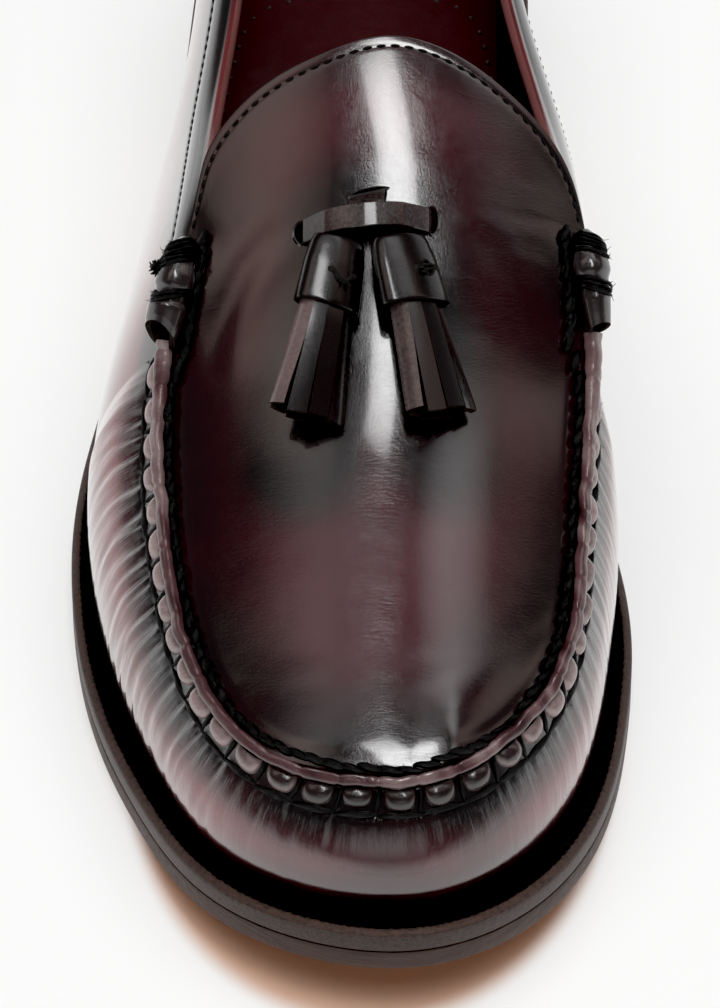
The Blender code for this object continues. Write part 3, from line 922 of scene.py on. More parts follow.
class Nodes(Wiring):
    """Hand for wiring one material, with its shader and object coordinates."""

    def __init__(self, tree: bpy.types.NodeTree) -> None:
        """Find the shader and the object coordinates.

        Args:
            tree: Nodes of the material.
        """
        super().__init__(tree)
        self.shader = tree.nodes["Principled BSDF"]
        self.where = self.add("ShaderNodeTexCoord").outputs["Object"]

    def noise(self, scale: float, detail: float = 2.0, rough: float = 0.5,
              vector: Socket | None = None) -> Socket:
        """Cloudy numbers about one half.

        Args:
            scale: Fineness.
            detail: Layers of finer noise.
            rough: Weight of those layers.
            vector: Coordinates other than the object's.

        Returns:
            The numbers.
        """
        node = self.add("ShaderNodeTexNoise", Vector=vector or self.where, Scale=scale, Detail=detail,
                        Roughness=rough)
        return node.outputs["Fac"]

    def stretched(self, scale: Place) -> Socket:
        """Object coordinates with a scale of their own for each axis."""
        return self.add("ShaderNodeMapping", Vector=self.where, Scale=scale).outputs["Vector"]

    def attribute(self, name: str) -> Socket:
        """Number kept on the mesh.

        Args:
            name: Layer of the mesh.

        Returns:
            The number.
        """
        node = self.add("ShaderNodeAttribute")
        node.attribute_name = name
        return node.outputs["Fac"]

    def spread(self, value: Socket, low: float, high: float) -> Socket:
        """Numbers about one half spread between two ends.

        Args:
            value: Cloudy numbers.
            low: New low end.
            high: New high end.

        Returns:
            The spread numbers.
        """
        node = self.add("ShaderNodeMapRange", Value=value, From_Min=0.3, From_Max=0.7, To_Min=low,
                        To_Max=high)
        return node.outputs["Result"]

    def bump(self, height: Socket, depth: float,
             under: Socket | None = None) -> Socket:
        """Surface raised by a height.

        Args:
            height: Height in shares of the depth.
            depth: Depth in millimetres.
            under: Coarser bump that this one lies on.

        Returns:
            The bent normal.
        """
        node = self.add("ShaderNodeBump", Height=height, Distance=depth * MM, Strength=1.0)
        if under is not None:
            self.fill(node.inputs["Normal"], under)
        return node.outputs["Normal"]

    def shade(self, **values: object) -> None:
        """Fill the shader's own sockets."""
        for name, value in values.items():
            self.fill(self.shader.inputs[name.replace("_", " ")], value)


@dataclass(frozen=True)
class Finish:
    """Surface of a piece."""

    name: str

    def material(self) -> bpy.types.Material:
        """Blender material of this finish, made once.

        Returns:
            The material.
        """
        made = bpy.data.materials.get(self.name)
        if made is None:
            made = bpy.data.materials.new(self.name)
            made.use_nodes = True
            self.paint(Nodes(made.node_tree))
        return made

    def paint(self, nodes: Nodes) -> None:
        """Wire the nodes of the finish.

        Args:
            nodes: Hand for the material.
        """
        raise NotImplementedError


@dataclass(frozen=True)
class BrushedLeather(Finish):
    """High-shine leather brushed from near black to burgundy; the layer that says how far also paints shade and
    highlight.
    """

    dark: Colour = (0.0065, 0.0048, 0.0054)
    wine: Colour = (0.0265, 0.0054, 0.0080)
    bright: Colour = (0.0600, 0.0092, 0.0145)
    roughness: float = 0.11
    grain: float = 0.030
    wave: float = 0.16
    wrinkled: bool = False
    brushed: float = 0.0
    level: float = 0.6
    coat: float = 1.0
    coat_rough: float = 0.075
    coat_index: float = 1.55

    def paint(self, nodes: Nodes) -> None:
        """Brushed colour, fine grain, slow waves and a hard clear polish.

        Args:
            nodes: Hand for the material.
        """
        cloud = nodes.noise(34.0, 3.0)
        fleck = nodes.noise(1400.0, 2.0)
        tone = nodes.maths("ADD", nodes.attribute("rub"), nodes.spread(cloud, -0.16, 0.16))
        tone = nodes.maths("ADD", tone, nodes.spread(fleck, -0.05, 0.05))
        colour = nodes.ramp(tone, (0.0, self.dark), (0.5, self.wine), (1.0, self.bright))
        normal = nodes.bump(nodes.noise(85.0, 2.0), self.wave)
        if self.brushed:
            strokes = nodes.noise(1.0, 3.0, 0.6, nodes.stretched((500.0, 2300.0, 2300.0)))
            normal = nodes.bump(strokes, self.brushed, normal)
        if self.wrinkled:
            along = nodes.maths("MULTIPLY", nodes.attribute("run"), 0.95)
            down = nodes.maths("MULTIPLY", nodes.attribute("drop"), 0.10)
            streak = nodes.add("ShaderNodeCombineXYZ", X=along, Y=down).outputs["Vector"]
            lines = nodes.noise(1.0, 3.0, 0.62, streak)
            lines = nodes.maths("MULTIPLY", lines, nodes.attribute("pucker"))
            normal = nodes.bump(lines, 0.70, normal)
        normal = nodes.bump(nodes.noise(2600.0, 3.0, 0.6), self.grain, normal)
        rough = nodes.spread(nodes.noise(420.0, 3.0), self.roughness - 0.03, self.roughness + 0.05)
        nodes.shade(Base_Color=colour, Normal=normal, Roughness=rough, IOR=1.5, Specular_IOR_Level=self.level,
                    Coat_Weight=self.coat, Coat_Roughness=self.coat_rough, Coat_IOR=self.coat_index)


@dataclass(frozen=True)
class LiningLeather(Finish):
    """Soft lining and sock leather; a layer on the mesh paints light near the collar and shade deeper inside
    the shoe.
    """

    low: Colour = (0.016, 0.0030, 0.0035)
    high: Colour = (0.150, 0.052, 0.049)
    roughness: float = 0.46

    def paint(self, nodes: Nodes) -> None:
        """Clouded colour with open grain.

        Args:
            nodes: Hand for the material.
        """
        tone = nodes.maths("ADD", nodes.attribute("rub"), nodes.spread(nodes.noise(60.0, 4.0), -0.06, 0.10))
        colour = nodes.ramp(tone, (0.0, self.low), (1.0, self.high))
        grain = nodes.bump(nodes.noise(900.0, 4.0, 0.65), 0.09)
        nodes.shade(Base_Color=colour, Normal=grain, Specular_IOR_Level=0.4,
                    Roughness=nodes.spread(nodes.noise(300.0), self.roughness - 0.06, self.roughness + 0.08))


@dataclass(frozen=True)
class WaxedThread(Finish):
    """Thick black waxed thread, or finer sewing thread."""

    colour: Colour = (0.0014, 0.0013, 0.0013)
    fibre: float = 0.30
    scale: float = 1500.0

    def paint(self, nodes: Nodes) -> None:
        """Fuzzy fibres with specks of wax.

        Args:
            nodes: Hand for the material.
        """
        speck = nodes.noise(self.scale, 4.0, 0.7)
        lighter = tuple(3.4 * part for part in self.colour)
        colour = nodes.ramp(nodes.spread(speck, 0.0, 1.0), (0.35, self.colour), (1.0, lighter))
        normal = nodes.bump(nodes.noise(self.scale * 0.8, 3.0, 0.7), self.fibre)
        nodes.shade(Base_Color=colour, Normal=normal, Specular_IOR_Level=0.30,
                    Roughness=nodes.spread(nodes.noise(self.scale * 0.5, 3.0), 0.28, 0.75))


@dataclass(frozen=True)
class RawEdge(Finish):
    """Cut edge or flesh side of leather, stained and fibrous."""

    low: Colour = (0.004, 0.0025, 0.0020)
    high: Colour = (0.042, 0.0200, 0.0105)

    def paint(self, nodes: Nodes) -> None:
        """Loose fibres in brown and black.

        Args:
            nodes: Hand for the material.
        """
        fibre = nodes.noise(1300.0, 5.0, 0.7)
        colour = nodes.ramp(nodes.spread(fibre, 0.0, 1.0), (0.15, self.low), (1.0, self.high))
        nodes.shade(Base_Color=colour, Normal=nodes.bump(fibre, 0.22), Roughness=0.86,
                    Specular_IOR_Level=0.25)


@dataclass(frozen=True)
class SoleEdge(Finish):
    """Stained and burnished edge of the sole, welt or heel lifts, with the scraper's fine lines."""

    low: Colour = (0.026, 0.0140, 0.0110)
    high: Colour = (0.082, 0.046, 0.037)
    roughness: float = 0.46

    def paint(self, nodes: Nodes) -> None:
        """Lines along the edge, small pits and a dull polish.

        Args:
            nodes: Hand for the material.
        """
        lines = nodes.noise(1.0, 4.0, 0.6, nodes.stretched((90.0, 90.0, 2600.0)))
        pits = nodes.noise(700.0, 4.0, 0.65)
        tone = nodes.maths("ADD", nodes.spread(lines, 0.0, 0.7), nodes.spread(pits, 0.0, 0.3))
        colour = nodes.ramp(tone, (0.1, self.low), (0.9, self.high))
        normal = nodes.bump(pits, 0.20, nodes.bump(lines, 0.10))
        nodes.shade(Base_Color=colour, Normal=normal, Specular_IOR_Level=0.28,
                    Roughness=nodes.spread(pits, self.roughness - 0.08, self.roughness + 0.12))


@dataclass(frozen=True)
class TanLeather(Finish):
    """Natural sole leather of the tread."""

    low: Colour = (0.30, 0.155, 0.070)
    high: Colour = (0.50, 0.290, 0.145)

    def paint(self, nodes: Nodes) -> None:
        """Warm clouds, pores and light scuffs along the shoe.

        Args:
            nodes: Hand for the material.
        """
        cloud = nodes.noise(45.0, 5.0, 0.6)
        scuff = nodes.noise(1.0, 4.0, 0.6, nodes.stretched((900.0, 120.0, 120.0)))
        tone = nodes.maths("ADD", nodes.spread(cloud, 0.0, 0.75), nodes.spread(scuff, 0.0, 0.25))
        colour = nodes.ramp(tone, (0.0, self.low), (1.0, self.high))
        nodes.shade(Base_Color=colour, Normal=nodes.bump(nodes.noise(1100.0, 4.0, 0.6), 0.06),
                    Roughness=nodes.spread(scuff, 0.42, 0.62), Specular_IOR_Level=0.45)


@dataclass(frozen=True)
class WeltLeather(Finish):
    """Black welt with a brown wheeled rim; the rim layer says where the stain is worn."""

    black: Colour = (0.0014, 0.0012, 0.0012)
    brown: Colour = (0.058, 0.033, 0.026)

    def paint(self, nodes: Nodes) -> None:
        """Black dressing that thins to brown on the rim, with waxy sparkle.

        Args:
            nodes: Hand for the material.
        """
        speck = nodes.noise(1500.0, 4.0, 0.7)
        pale_share = nodes.maths("ADD", nodes.attribute("rim"), nodes.spread(speck, -0.32, 0.32))
        colour = nodes.ramp(pale_share, (0.45, self.black), (0.95, self.brown))
        rough = nodes.maths("MULTIPLY", nodes.attribute("rim"), -0.40)
        normal = nodes.bump(nodes.noise(1700.0, 4.0, 0.7), 0.20)
        nodes.shade(Base_Color=colour, Normal=normal, Roughness=nodes.maths("ADD", rough, 0.72),
                    Specular_IOR_Level=0.34)


@dataclass(frozen=True)
class HeelRubber(Finish):
    """Black rubber top piece."""

    low: Colour = (0.010, 0.0095, 0.009)
    high: Colour = (0.026, 0.024, 0.023)

    def paint(self, nodes: Nodes) -> None:
        """Fine moulded grain with dusty variation.

        Args:
            nodes: Hand for the material.
        """
        dust = nodes.noise(240.0, 4.0, 0.6)
        colour = nodes.ramp(nodes.spread(dust, 0.0, 1.0), (0.0, self.low), (1.0, self.high))
        nodes.shade(Base_Color=colour, Normal=nodes.bump(nodes.noise(1800.0, 3.0), 0.06),
                    Roughness=nodes.spread(dust, 0.58, 0.78), Specular_IOR_Level=0.4)


@dataclass(frozen=True)
class StudioFloor(Finish):
    """Plain pale sweep that glows like a lit table, with a painted shadow close under the toe."""

    colour: Colour = (0.42, 0.42, 0.42)
    glow: float = 0.50
    # Painted shadow under the toe, tinted as light bounced off the tan tread.
    warm: Colour = (0.73, 0.49, 0.37)
    shade_middle: Pair = (0.0037, -0.090)
    shade_half: Pair = (0.044, 0.0605)

    def paint(self, nodes: Nodes) -> None:
        """Nearly even white with a trace of cloud; under the toe the glow is cut to a painted shadow, tinted as
        light bounced off the tread.

        Args:
            nodes: Hand for the material.
        """
        split = nodes.add("ShaderNodeSeparateXYZ", Vector=nodes.where)
        reach = None
        for name, middle, half in zip("XY", self.shade_middle, self.shade_half):
            off = nodes.maths("DIVIDE", nodes.maths("SUBTRACT", split.outputs[name], middle), half)
            square = nodes.maths("MULTIPLY", off, off)
            reach = square if reach is None else nodes.maths("ADD", reach, square)
        rise = nodes.add("ShaderNodeMapRange", Value=reach, From_Min=0.93, From_Max=1.13, To_Min=0.0,
                         To_Max=1.0)
        rise.interpolation_type = "SMOOTHSTEP"
        lit = nodes.maths("MULTIPLY", rise.outputs["Result"], nodes.spread(nodes.noise(3.0, 2.0), 0.99, 1.0))
        nodes.shade(Base_Color=nodes.ramp(lit, (0.0, self.warm), (0.98, self.colour)), Roughness=0.55,
                    Specular_IOR_Level=0.25, Emission_Color=(1.0, 1.0, 1.0, 1.0),
                    Emission_Strength=nodes.maths("MULTIPLY", lit, self.glow))


HIDE = BrushedLeather("burgundy_hide", brushed=0.022)
# Brighter copy of the upper's leather for the gathered side: painted light that makes up for the weaker light
# on the upright walls.
GATHERED_HIDE = BrushedLeather(
    "burgundy_hide_gathered", wine=(0.052, 0.010, 0.013), bright=(0.185, 0.034, 0.034), wrinkled=True,
    level=0.8, coat_index=1.75)
LIP_HIDE = BrushedLeather(
    "worn_lip_hide", dark=(0.030, 0.0075, 0.0100), wine=(0.085, 0.038, 0.041), bright=(0.200, 0.140, 0.137),
    roughness=0.30, grain=0.10, coat=0.9, coat_rough=0.12)
# Its pale end is a painted reflection of the bright surroundings on the swells, strongest on the flanks.
SWELL_HIDE = BrushedLeather(
    "gathered_swell_hide", dark=(0.008, 0.004, 0.004), wine=(0.022, 0.011, 0.012),
    bright=(0.330, 0.245, 0.236), roughness=0.28, grain=0.06, coat=0.9, coat_rough=0.17)
ROLL_HIDE = BrushedLeather(
    "worn_roll_hide", dark=(0.006, 0.004, 0.005), wine=(0.013, 0.009, 0.010), bright=(0.030, 0.020, 0.021),
    roughness=0.22, grain=0.06, coat_rough=0.13, coat_index=1.70)
TRIM_HIDE = BrushedLeather(
    "dark_trim_hide", dark=(0.0030, 0.0018, 0.0022), wine=(0.0080, 0.0045, 0.0050),
    bright=(0.1900, 0.1380, 0.1340), roughness=0.24, grain=0.06, wave=0.04, level=0.4, coat_rough=0.15,
    coat_index=1.5)
LINING = LiningLeather("burgundy_lining")
SOCK_HIDE = LiningLeather("dark_sock", low=(0.030, 0.0060, 0.0070), high=(0.080, 0.0150, 0.0170),
                          roughness=0.34)
THREAD = WaxedThread("waxed_thread")
SEWING = WaxedThread("sewing_thread", fibre=0.05, scale=2600.0)
PALE_SEWING = WaxedThread("pale_sewing_thread", colour=(0.030, 0.022, 0.022), fibre=0.05, scale=2600.0)
KNOTTED = WaxedThread("knotted_thread", colour=(0.0060, 0.0050, 0.0050), scale=2200.0)
DARK_RAW = RawEdge("dark_raw_edge", low=(0.002, 0.0015, 0.0015), high=(0.024, 0.0130, 0.0070))
# Near-black: painted shade in the open slits, and the dark cut edges of strap and keeper.
SLIT_DARK = RawEdge("slit_dark", low=(0.0008, 0.0007, 0.0007), high=(0.0050, 0.0036, 0.0030))
EDGE_STAIN = SoleEdge("sole_edge_stain")
WELT_STAIN = WeltLeather("welt_dressing")
TREAD_TAN = TanLeather("tread_tan")
LIFT_STAIN = SoleEdge("heel_lift_stain", low=(0.030, 0.022, 0.019), high=(0.070, 0.050, 0.043))
RUBBER = HeelRubber("top_piece_rubber")
FLOOR = StudioFloor("studio_floor")


@dataclass
class Piece:
    """Finished mesh on its way to the scene."""

    name: str
    bm: Mesh
    finishes: Sequence[Finish]
    slot: Slot
    stands_for: tuple[str, ...] = ()
    crisp: float = 40.0

    def place(self) -> bpy.types.Object:
        """Put the piece on the shoe.

        Returns:
            The new object, riding on the frame.
        """
        mesh = bpy.data.meshes.new(self.name)
        self.bm.to_mesh(mesh)
        self.bm.free()
        mesh.shade_smooth()
        mesh.set_sharp_from_angle(angle=math.radians(self.crisp))
        for finish in self.finishes:
            mesh.materials.append(finish.material())
        thing = bpy.data.objects.new(self.name, mesh)
        bpy.context.scene.collection.objects.link(thing)
        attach(thing, BODY)
        if self.stands_for:
            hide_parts(*self.stands_for)
        LOG.info("%s: %d faces", self.name, len(mesh.polygons))
        return thing


# ---------------------------------------------------------------- upper

class Crease(NamedTuple):
    """Main crease of the gathered side: place along the seam as a share, then millimetres."""

    share: float
    lean: float
    half: float
    depth: float
    reach: float


# Listed lateral notch to medial notch.
MAIN_CREASES = [Crease(*row) for row in (
    (0.115, -0.10, 1.1, 0.26, 9.4), (0.140, 0.05, 0.9, 0.22, 12.2), (0.163, -0.05, 1.2, 0.29, 10.8),
    (0.187, 0.10, 0.9, 0.25, 13.7), (0.210, -0.08, 1.1, 0.27, 11.5), (0.236, 0.04, 0.8, 0.21, 14.4),
    (0.262, -0.12, 1.2, 0.26, 13.0), (0.292, 0.06, 1.0, 0.25, 15.1), (0.322, 0.10, 1.2, 0.24, 13.7),
    (0.355, -0.06, 0.9, 0.22, 12.2), (0.392, 0.08, 1.1, 0.21, 13.0), (0.430, -0.04, 0.9, 0.19, 10.1),
    (0.476, 0.05, 1.0, 0.16, 7.9), (0.521, -0.05, 1.0, 0.16, 7.9), (0.566, 0.07, 0.9, 0.17, 9.4),
    (0.605, -0.06, 1.0, 0.20, 10.8), (0.640, 0.05, 0.9, 0.21, 11.5), (0.674, -0.08, 1.1, 0.21, 10.8),
    (0.710, 0.06, 0.9, 0.20, 10.1), (0.750, -0.05, 1.0, 0.19, 9.4), (0.795, 0.05, 0.9, 0.17, 8.6),
    (0.845, -0.05, 1.0, 0.17, 8.6),
)]


class InstepFold(NamedTuple):
    """Soft fold of the instep: plan line, half width and depth in millimetres."""

    line: tuple[Pair, ...]
    half: float
    depth: float


INSTEP_FOLDS = [
    InstepFold(((-11.5, -28.2), (-17.5, -32.2), (-21.0, -37.2), (-24.0, -44.0), (-26.0, -52.0)), 2.3, 0.20),
    InstepFold(((21.0, -29.0), (27.0, -33.0), (31.0, -39.0), (33.0, -46.0)), 2.6, 0.05),
]


class TasselRow(NamedTuple):
    """Seat of a tassel on the instep: both ends, fullness, place of the knot, roll and lift."""

    side: Side
    top: Pair
    foot: Pair
    full: float
    knot: float
    roll: float
    lift: float


TASSELS = [TasselRow(Side.LATERAL, (-1.3, -33.4), (-7.9, -67.5), 1.05, 0.9, 0.45, 0.45),
           TasselRow(Side.MEDIAL, (8.5, -33.4), (17.2, -66.5), 1.17, 2.6, 0.38, 0.55)]


@dataclass
class Upper:
    """Side wall with its gathers and collar, and the apron with the tongue."""

    last: Last
    seam: SeamLine
    stitch_columns: int = 14
    rear_columns: int = 160
    fine_rows: int = 27
    fine_reach: float = 9.0
    coarse_rows: int = 30
    rim_rows: int = 7
    lining_rows: int = 16
    half_wall: float = 1.15
    planted: float = 1.1
    tuck: float = 2.6
    valley_end: float = 5.9
    collar_stitch: float = 6.6
    collar_turn: float = 2.4
    apron_columns: int = 150
    apron_rows: int = 26
    apron_thick: float = 1.9
    fold_width: float = 2.0
    fold_rise: float = 0.06
    fit_reach: float = 11.0
    thread_bed: float = 2.5
    bulge: float = 2.2
    # Patch of the medial instep that is coloured darker.
    dark_patch_middle: Pair = (27.0, -33.0)
    dark_patch_half: Pair = (13.0, 20.0)
    seed: int = 11

    def build(self) -> "Ground":
        """Build both pieces.

        Returns:
            The apron's face, for the pieces that lie on it.
        """
        Piece("upper_side", self.side_mesh(), (GATHERED_HIDE, LINING), Slot.UPPER, ("upper",), 60.0).place()
        bm = self.apron_face()
        ground = Ground(BVHTree.FromBMesh(bm))
        self.thicken(bm)
        Piece("upper_apron", bm, (HIDE, LINING), Slot.UPPER, ("upper",), 60.0).place()
        return ground

    def columns(self) -> Array:
        """Loop distances of the side's columns, once round from the lateral notch.

        Returns:
            The distances.
        """
        steps = self.seam.count * self.stitch_columns + 1
        front = self.seam.at_run(np.linspace(0.0, self.seam.run[-1], steps))
        rear = np.linspace(front[-1], 2.0 * self.last.toe + self.last.notch, self.rear_columns + 1)
        return np.concatenate([front, rear[1:-1]])

    def side_places(self, at: Array) -> tuple[Array, Array]:
        """Drop below the seam or collar for each row, and the share of the wall there.

        Args:
            at: Loop distances of the columns.

        Returns:
            Drops in millimetres and shares, rows by columns.
        """
        shares = np.linspace(1.0, 0.0, 81)
        depth = walked(np.stack([self.last.wall(at, share) for share in shares]))
        fine = np.linspace(self.half_wall, self.fine_reach, self.fine_rows)
        coarse = np.linspace(0.0, 1.0, self.coarse_rows + 1)[1:] ** 1.1
        rest = self.fine_reach + (depth[-1] - self.fine_reach)[None] * coarse[:, None]
        drop = np.vstack([np.repeat(fine[:, None], len(at), axis=1), rest])
        share = np.stack([np.interp(drop[:, j], depth[:, j], shares) for j in range(len(at))], axis=1)
        return drop, share

    def gathers(self, at: Array, drop: Array) -> tuple[Array, Array]:
        """Round shoulder, tucked foot and creases fanning down the side.

        Args:
            at: Loop distances of the columns.
            drop: Drops of the rows, rows by columns.

        Returns:
            Outward push in millimetres and how puckered the leather is, rows by columns.
        """
        dice = np.random.default_rng(self.seed)
        run = self.seam.run_of(np.where(at > 2.0 * self.last.toe - self.last.notch, self.last.notch, at))
        front = self.last.gathered(at)
        flank = self.last.flank(at)
        lateral, medial = np.maximum(-flank, 0.0), np.maximum(flank, 0.0)
        round_side = 0.10 + 0.90 * lateral + 0.40 * medial
        push = self.bulge * round_side * ease(3.0, 14.0, drop) * (1.0 - ease(14.0, 44.0, drop))
        push -= self.tuck * (1.0 - 0.6 * np.abs(flank)) * ease(-9.0, 0.0, drop - drop[-1]) ** 2
        calm = 0.42 + 1.10 * lateral + 0.10 * medial
        total = self.seam.run[-1]
        below = np.maximum(drop - self.valley_end + 0.8, 0.0)
        folds = np.zeros(drop.shape)
        for crease in MAIN_CREASES:
            away = run - crease.share * total - crease.lean * below
            fold = -bell(away, 0.0, crease.half) + 0.55 * bell(np.abs(away), 2.0 * crease.half, crease.half)
            folds += crease.depth * fold * np.exp(-(below / crease.reach) ** 2)
        for i in range(self.seam.count):
            gaps = (0.0, dice.uniform(0.25, 0.45), dice.uniform(0.55, 0.8))
            for gap, strength in zip(gaps, (1.0, 0.6, 0.6)):
                place = (i + gap + dice.uniform(-0.06, 0.06)) * self.seam.pitch
                lean = dice.uniform(-0.16, 0.16)
                half = dice.uniform(0.55, 0.95)
                depth = strength * dice.uniform(0.16, 0.36)
                span = dice.uniform(3.5, 9.5)
                away = run - place - lean * below
                fold = 0.5 * bell(np.abs(away), 1.7 * half, half) - bell(away, 0.0, half)
                folds += depth * fold * np.exp(-below / span)
        folds *= ease(self.valley_end - 1.8, self.valley_end + 0.6, drop)
        pucker = np.exp(-below / 8.5) * ease(self.valley_end - 1.0, self.valley_end + 1.6, drop)
        return (push + folds * calm) * front, pucker * front

    def side_mesh(self) -> Mesh:
        """Closed shell of the side: outer face, rim and lining in one loop of rows.

        Returns:
            Closed mesh; the lining takes the second finish.
        """
        at = self.columns()
        drop, share = self.side_places(at)
        base = np.stack([self.last.wall(at, row) for row in share])
        out = face_normals(base, self.last.outward(at))
        push, pucker = self.gathers(at, drop)
        past = self.last.toe - np.abs(at % (2.0 * self.last.toe) - self.last.toe) - self.last.notch
        rear = 1.0 - ease(-3.0, 3.0, past)
        push += rear * (0.45 * np.sin(np.pi * np.clip(drop / self.collar_stitch, 0.0, 1.0))
                        - 0.40 * bell(drop, self.collar_stitch, 0.55))
        turned = -self.collar_turn * rear * np.clip(1.0 - drop / self.collar_stitch, 0.0, 1.0) ** 2
        push += turned
        outer = base + out * push[..., None]
        foot = outer[-1] - np.array([0.0, 0.0, self.planted])
        half = self.half_wall
        rise = unit(self.last.wall(at, 1.0) - base[0])
        rim = []
        for angle in np.linspace(0.0, math.pi, self.rim_rows + 2)[1:-1]:
            lift = (turned[0] + (push - turned)[0] * math.cos(angle / 2.0) ** 2)[:, None]
            rim.append(base[0] + out[0] * (lift - half + half * math.cos(angle))
                       + rise * half * math.sin(angle))
        picks = np.unique(np.linspace(0, len(base) - 1, self.lining_rows).astype(int))
        inner = base[picks] + out[picks] * (turned[picks] - 2.0 * half)[..., None]
        inner_foot = inner[-1] - np.array([0.0, 0.0, self.planted])
        points = np.concatenate([foot[None], outer[::-1], np.array(rim), inner, inner_foot[None], foot[None]])
        points = np.concatenate([points, points[:, :1]], axis=1)
        rows = len(points)
        skin = 1 + len(outer)
        layers = {name: np.zeros(points.shape[:2]) for name in ("rub", "run", "drop", "pucker")}
        whole = np.maximum(drop[-1], 1.0)
        flank = np.abs(self.last.flank(at, 26.0))
        # Painted shade: the side is left dark just under the seam and towards the welt; it is paler on the
        # flanks than round the toe.
        rub = (0.35 + 0.65 * flank) * ease(6.0, 15.0, drop) * (1.0 - ease(0.55, 0.88, drop / whole))
        for name, values in (("rub", rub), ("run", np.broadcast_to(self.seam.run_of(at), drop.shape)),
                             ("drop", drop), ("pucker", pucker)):
            layers[name][1:skin, :-1] = values[::-1]
        layers["rub"][skin:] = 0.75
        # Painted light and shade on the lining: pale at the collar, darkening with depth where the light falls
        # off inside the shoe.
        lit = 0.9 * (1.0 - ease(1.0, 20.0, drop[picks]))
        layers["rub"][skin + len(rim):skin + len(rim) + len(picks), :-1] = lit
        layers["rub"][:, -1] = layers["rub"][:, 0]
        bm = bmesh.new()
        faces = lay_grid(bm, points, **layers)
        wide = points.shape[1] - 1
        first_lining = skin + 2
        second_finish(faces, lambda i: first_lining <= i // wide < rows - 2)
        weld(bm)
        return bm

    def apron_shares(self, at: Array) -> tuple[Array, Array]:
        """Rows of the apron from the seam to the ridge.

        Args:
            at: Loop distances of the columns.

        Returns:
            Distances from the seam in millimetres and shares of the section, rows by columns.
        """
        near = np.array([0.0, 0.6, 1.2, 1.8, 2.4, 3.0, 3.6, 4.2, 5.0, 6.2, 7.8])
        width = self.last.apron_width(at)
        far = np.linspace(0.0, 1.0, self.apron_rows + 1)[1:]
        rest = near[-1] + (width - near[-1])[None] * far[:, None]
        inward = np.vstack([np.repeat(near[:, None], len(at), axis=1), rest])
        return inward, inward / width

    def apron_face(self) -> Mesh:
        """Outer face of the apron and tongue, with the seam's bed and the tongue's folded edge.

        Returns:
            Open mesh, its faces upward.
        """
        last = self.last
        half = np.linspace(last.notch, last.toe, self.apron_columns + 1)
        at = np.concatenate([half, 2.0 * last.toe - half[-2::-1]])
        inward, share = self.apron_shares(at)
        points = np.stack([last.dressed(at, row) for row in share])
        flank = np.abs(last.flank(at))
        push = -0.30 * flank * bell(inward, self.thread_bed, 1.1) * last.gathered(at)
        # Darker within a few millimetres of the seam, fuller burgundy towards the ridge.
        rub = 0.12 + 0.66 * ease(4.0, 24.0, inward)
        hold = ease(2.0, 8.0, inward) * ease(-66.0, -50.0, points[..., 1])
        bm = bmesh.new()
        lay_grid(bm, points, push=push, rub=rub, hold=hold)
        turns = np.concatenate([share[:, 0] - 1.0, (1.0 - share[:, -1])[::-1][1:]])
        turns[len(share) - 1] = 0.0
        side = np.concatenate([inward[:, 0], inward[::-1, -1][1:]])
        depths = np.linspace(0.0, 1.0, 41)
        gone = walked(np.stack([last.tongue(turns, depth) for depth in depths]))
        whole = gone[-1]
        edge = np.linspace(0.0, 5.0, 16)[:, None] * np.minimum(1.0, whole / 7.0)
        back = np.linspace(0.0, 1.0, 19)[1:, None]
        edge = np.vstack([edge, edge[-1] + (whole - edge[-1]) * back])[::-1]
        depth = np.stack([np.interp(whole[j] - edge[:, j], gone[:, j], depths) if whole[j] > 1e-6
                          else np.linspace(0.0, 1.0, len(edge)) for j in range(len(turns))], axis=1)
        tongue = np.stack([last.tongue(turns, row) for row in depth])
        fold = (self.fold_rise * (1.0 - ease(self.fold_width - 1.2, self.fold_width + 0.6, edge))
                - 0.07 * bell(edge, self.fold_width, 0.4)) * ease(2.0, 8.0, whole)
        hold = ease(1.0, 6.0, edge) * ease(2.0, 8.0, side)[None]
        shade = (0.05 + 0.72 * ease(5.0, 24.0, side))[None] * (0.35 + 0.65 * ease(2.0, 12.0, edge))
        lay_grid(bm, tongue, push=fold, rub=shade, hold=hold)
        weld(bm)
        if sum(face.normal.z for face in bm.faces) < 0.0:
            bmesh.ops.reverse_faces(bm, faces=bm.faces[:])
        self.soften(bm)
        self.trough(bm)
        self.blacken(bm)
        bm.normal_update()
        layer = bm.verts.layers.float["push"]
        for vert in bm.verts:
            vert.co += vert.normal * vert[layer] * MM
        bm.normal_update()
        return bm

    def soften(self, bm: Mesh) -> None:
        """Ease the meeting of apron and tongue so that the instep reflects as one sheet.

        Args:
            bm: Face of apron and tongue; its hold layer says how far a vertex may move.
        """
        hold = bm.verts.layers.float["hold"]
        near = sorted((vert for vert in bm.verts if -0.095 < vert.co.y), key=lambda vert: vert.co.y)
        places = np.array([vert.co for vert in near]) / MM
        weight = np.sqrt([sum(face.calc_area() for face in vert.link_faces) for vert in near])
        moving = [i for i, vert in enumerate(near) if vert[hold] > 0.0]
        for start in range(0, len(moving), 250):
            picks = moving[start:start + 250]
            reach = 2.4 * self.fit_reach * np.array([-1.0, 1.0])
            first, last = np.searchsorted(places[:, 1], places[[picks[0], picks[-1]], 1] + reach)
            off = (places[None, first:last:2, :2] - places[picks][:, None, :2]) / self.fit_reach
            pull = np.exp(-np.sum(off ** 2, axis=2)) * weight[first:last:2]
            x, y = off[..., 0], off[..., 1]
            terms = np.stack([np.ones_like(x), x, y, x * x, x * y, y * y], axis=2)
            pulled = np.swapaxes(terms * pull[..., None], 1, 2)
            right = pulled @ places[first:last:2, 2:]
            fit = np.linalg.solve(pulled @ terms + 1e-9 * np.eye(6), right)[:, 0, 0]
            for i, height in zip(picks, fit):
                near[i].co.z += near[i][hold] * (height * MM - near[i].co.z)

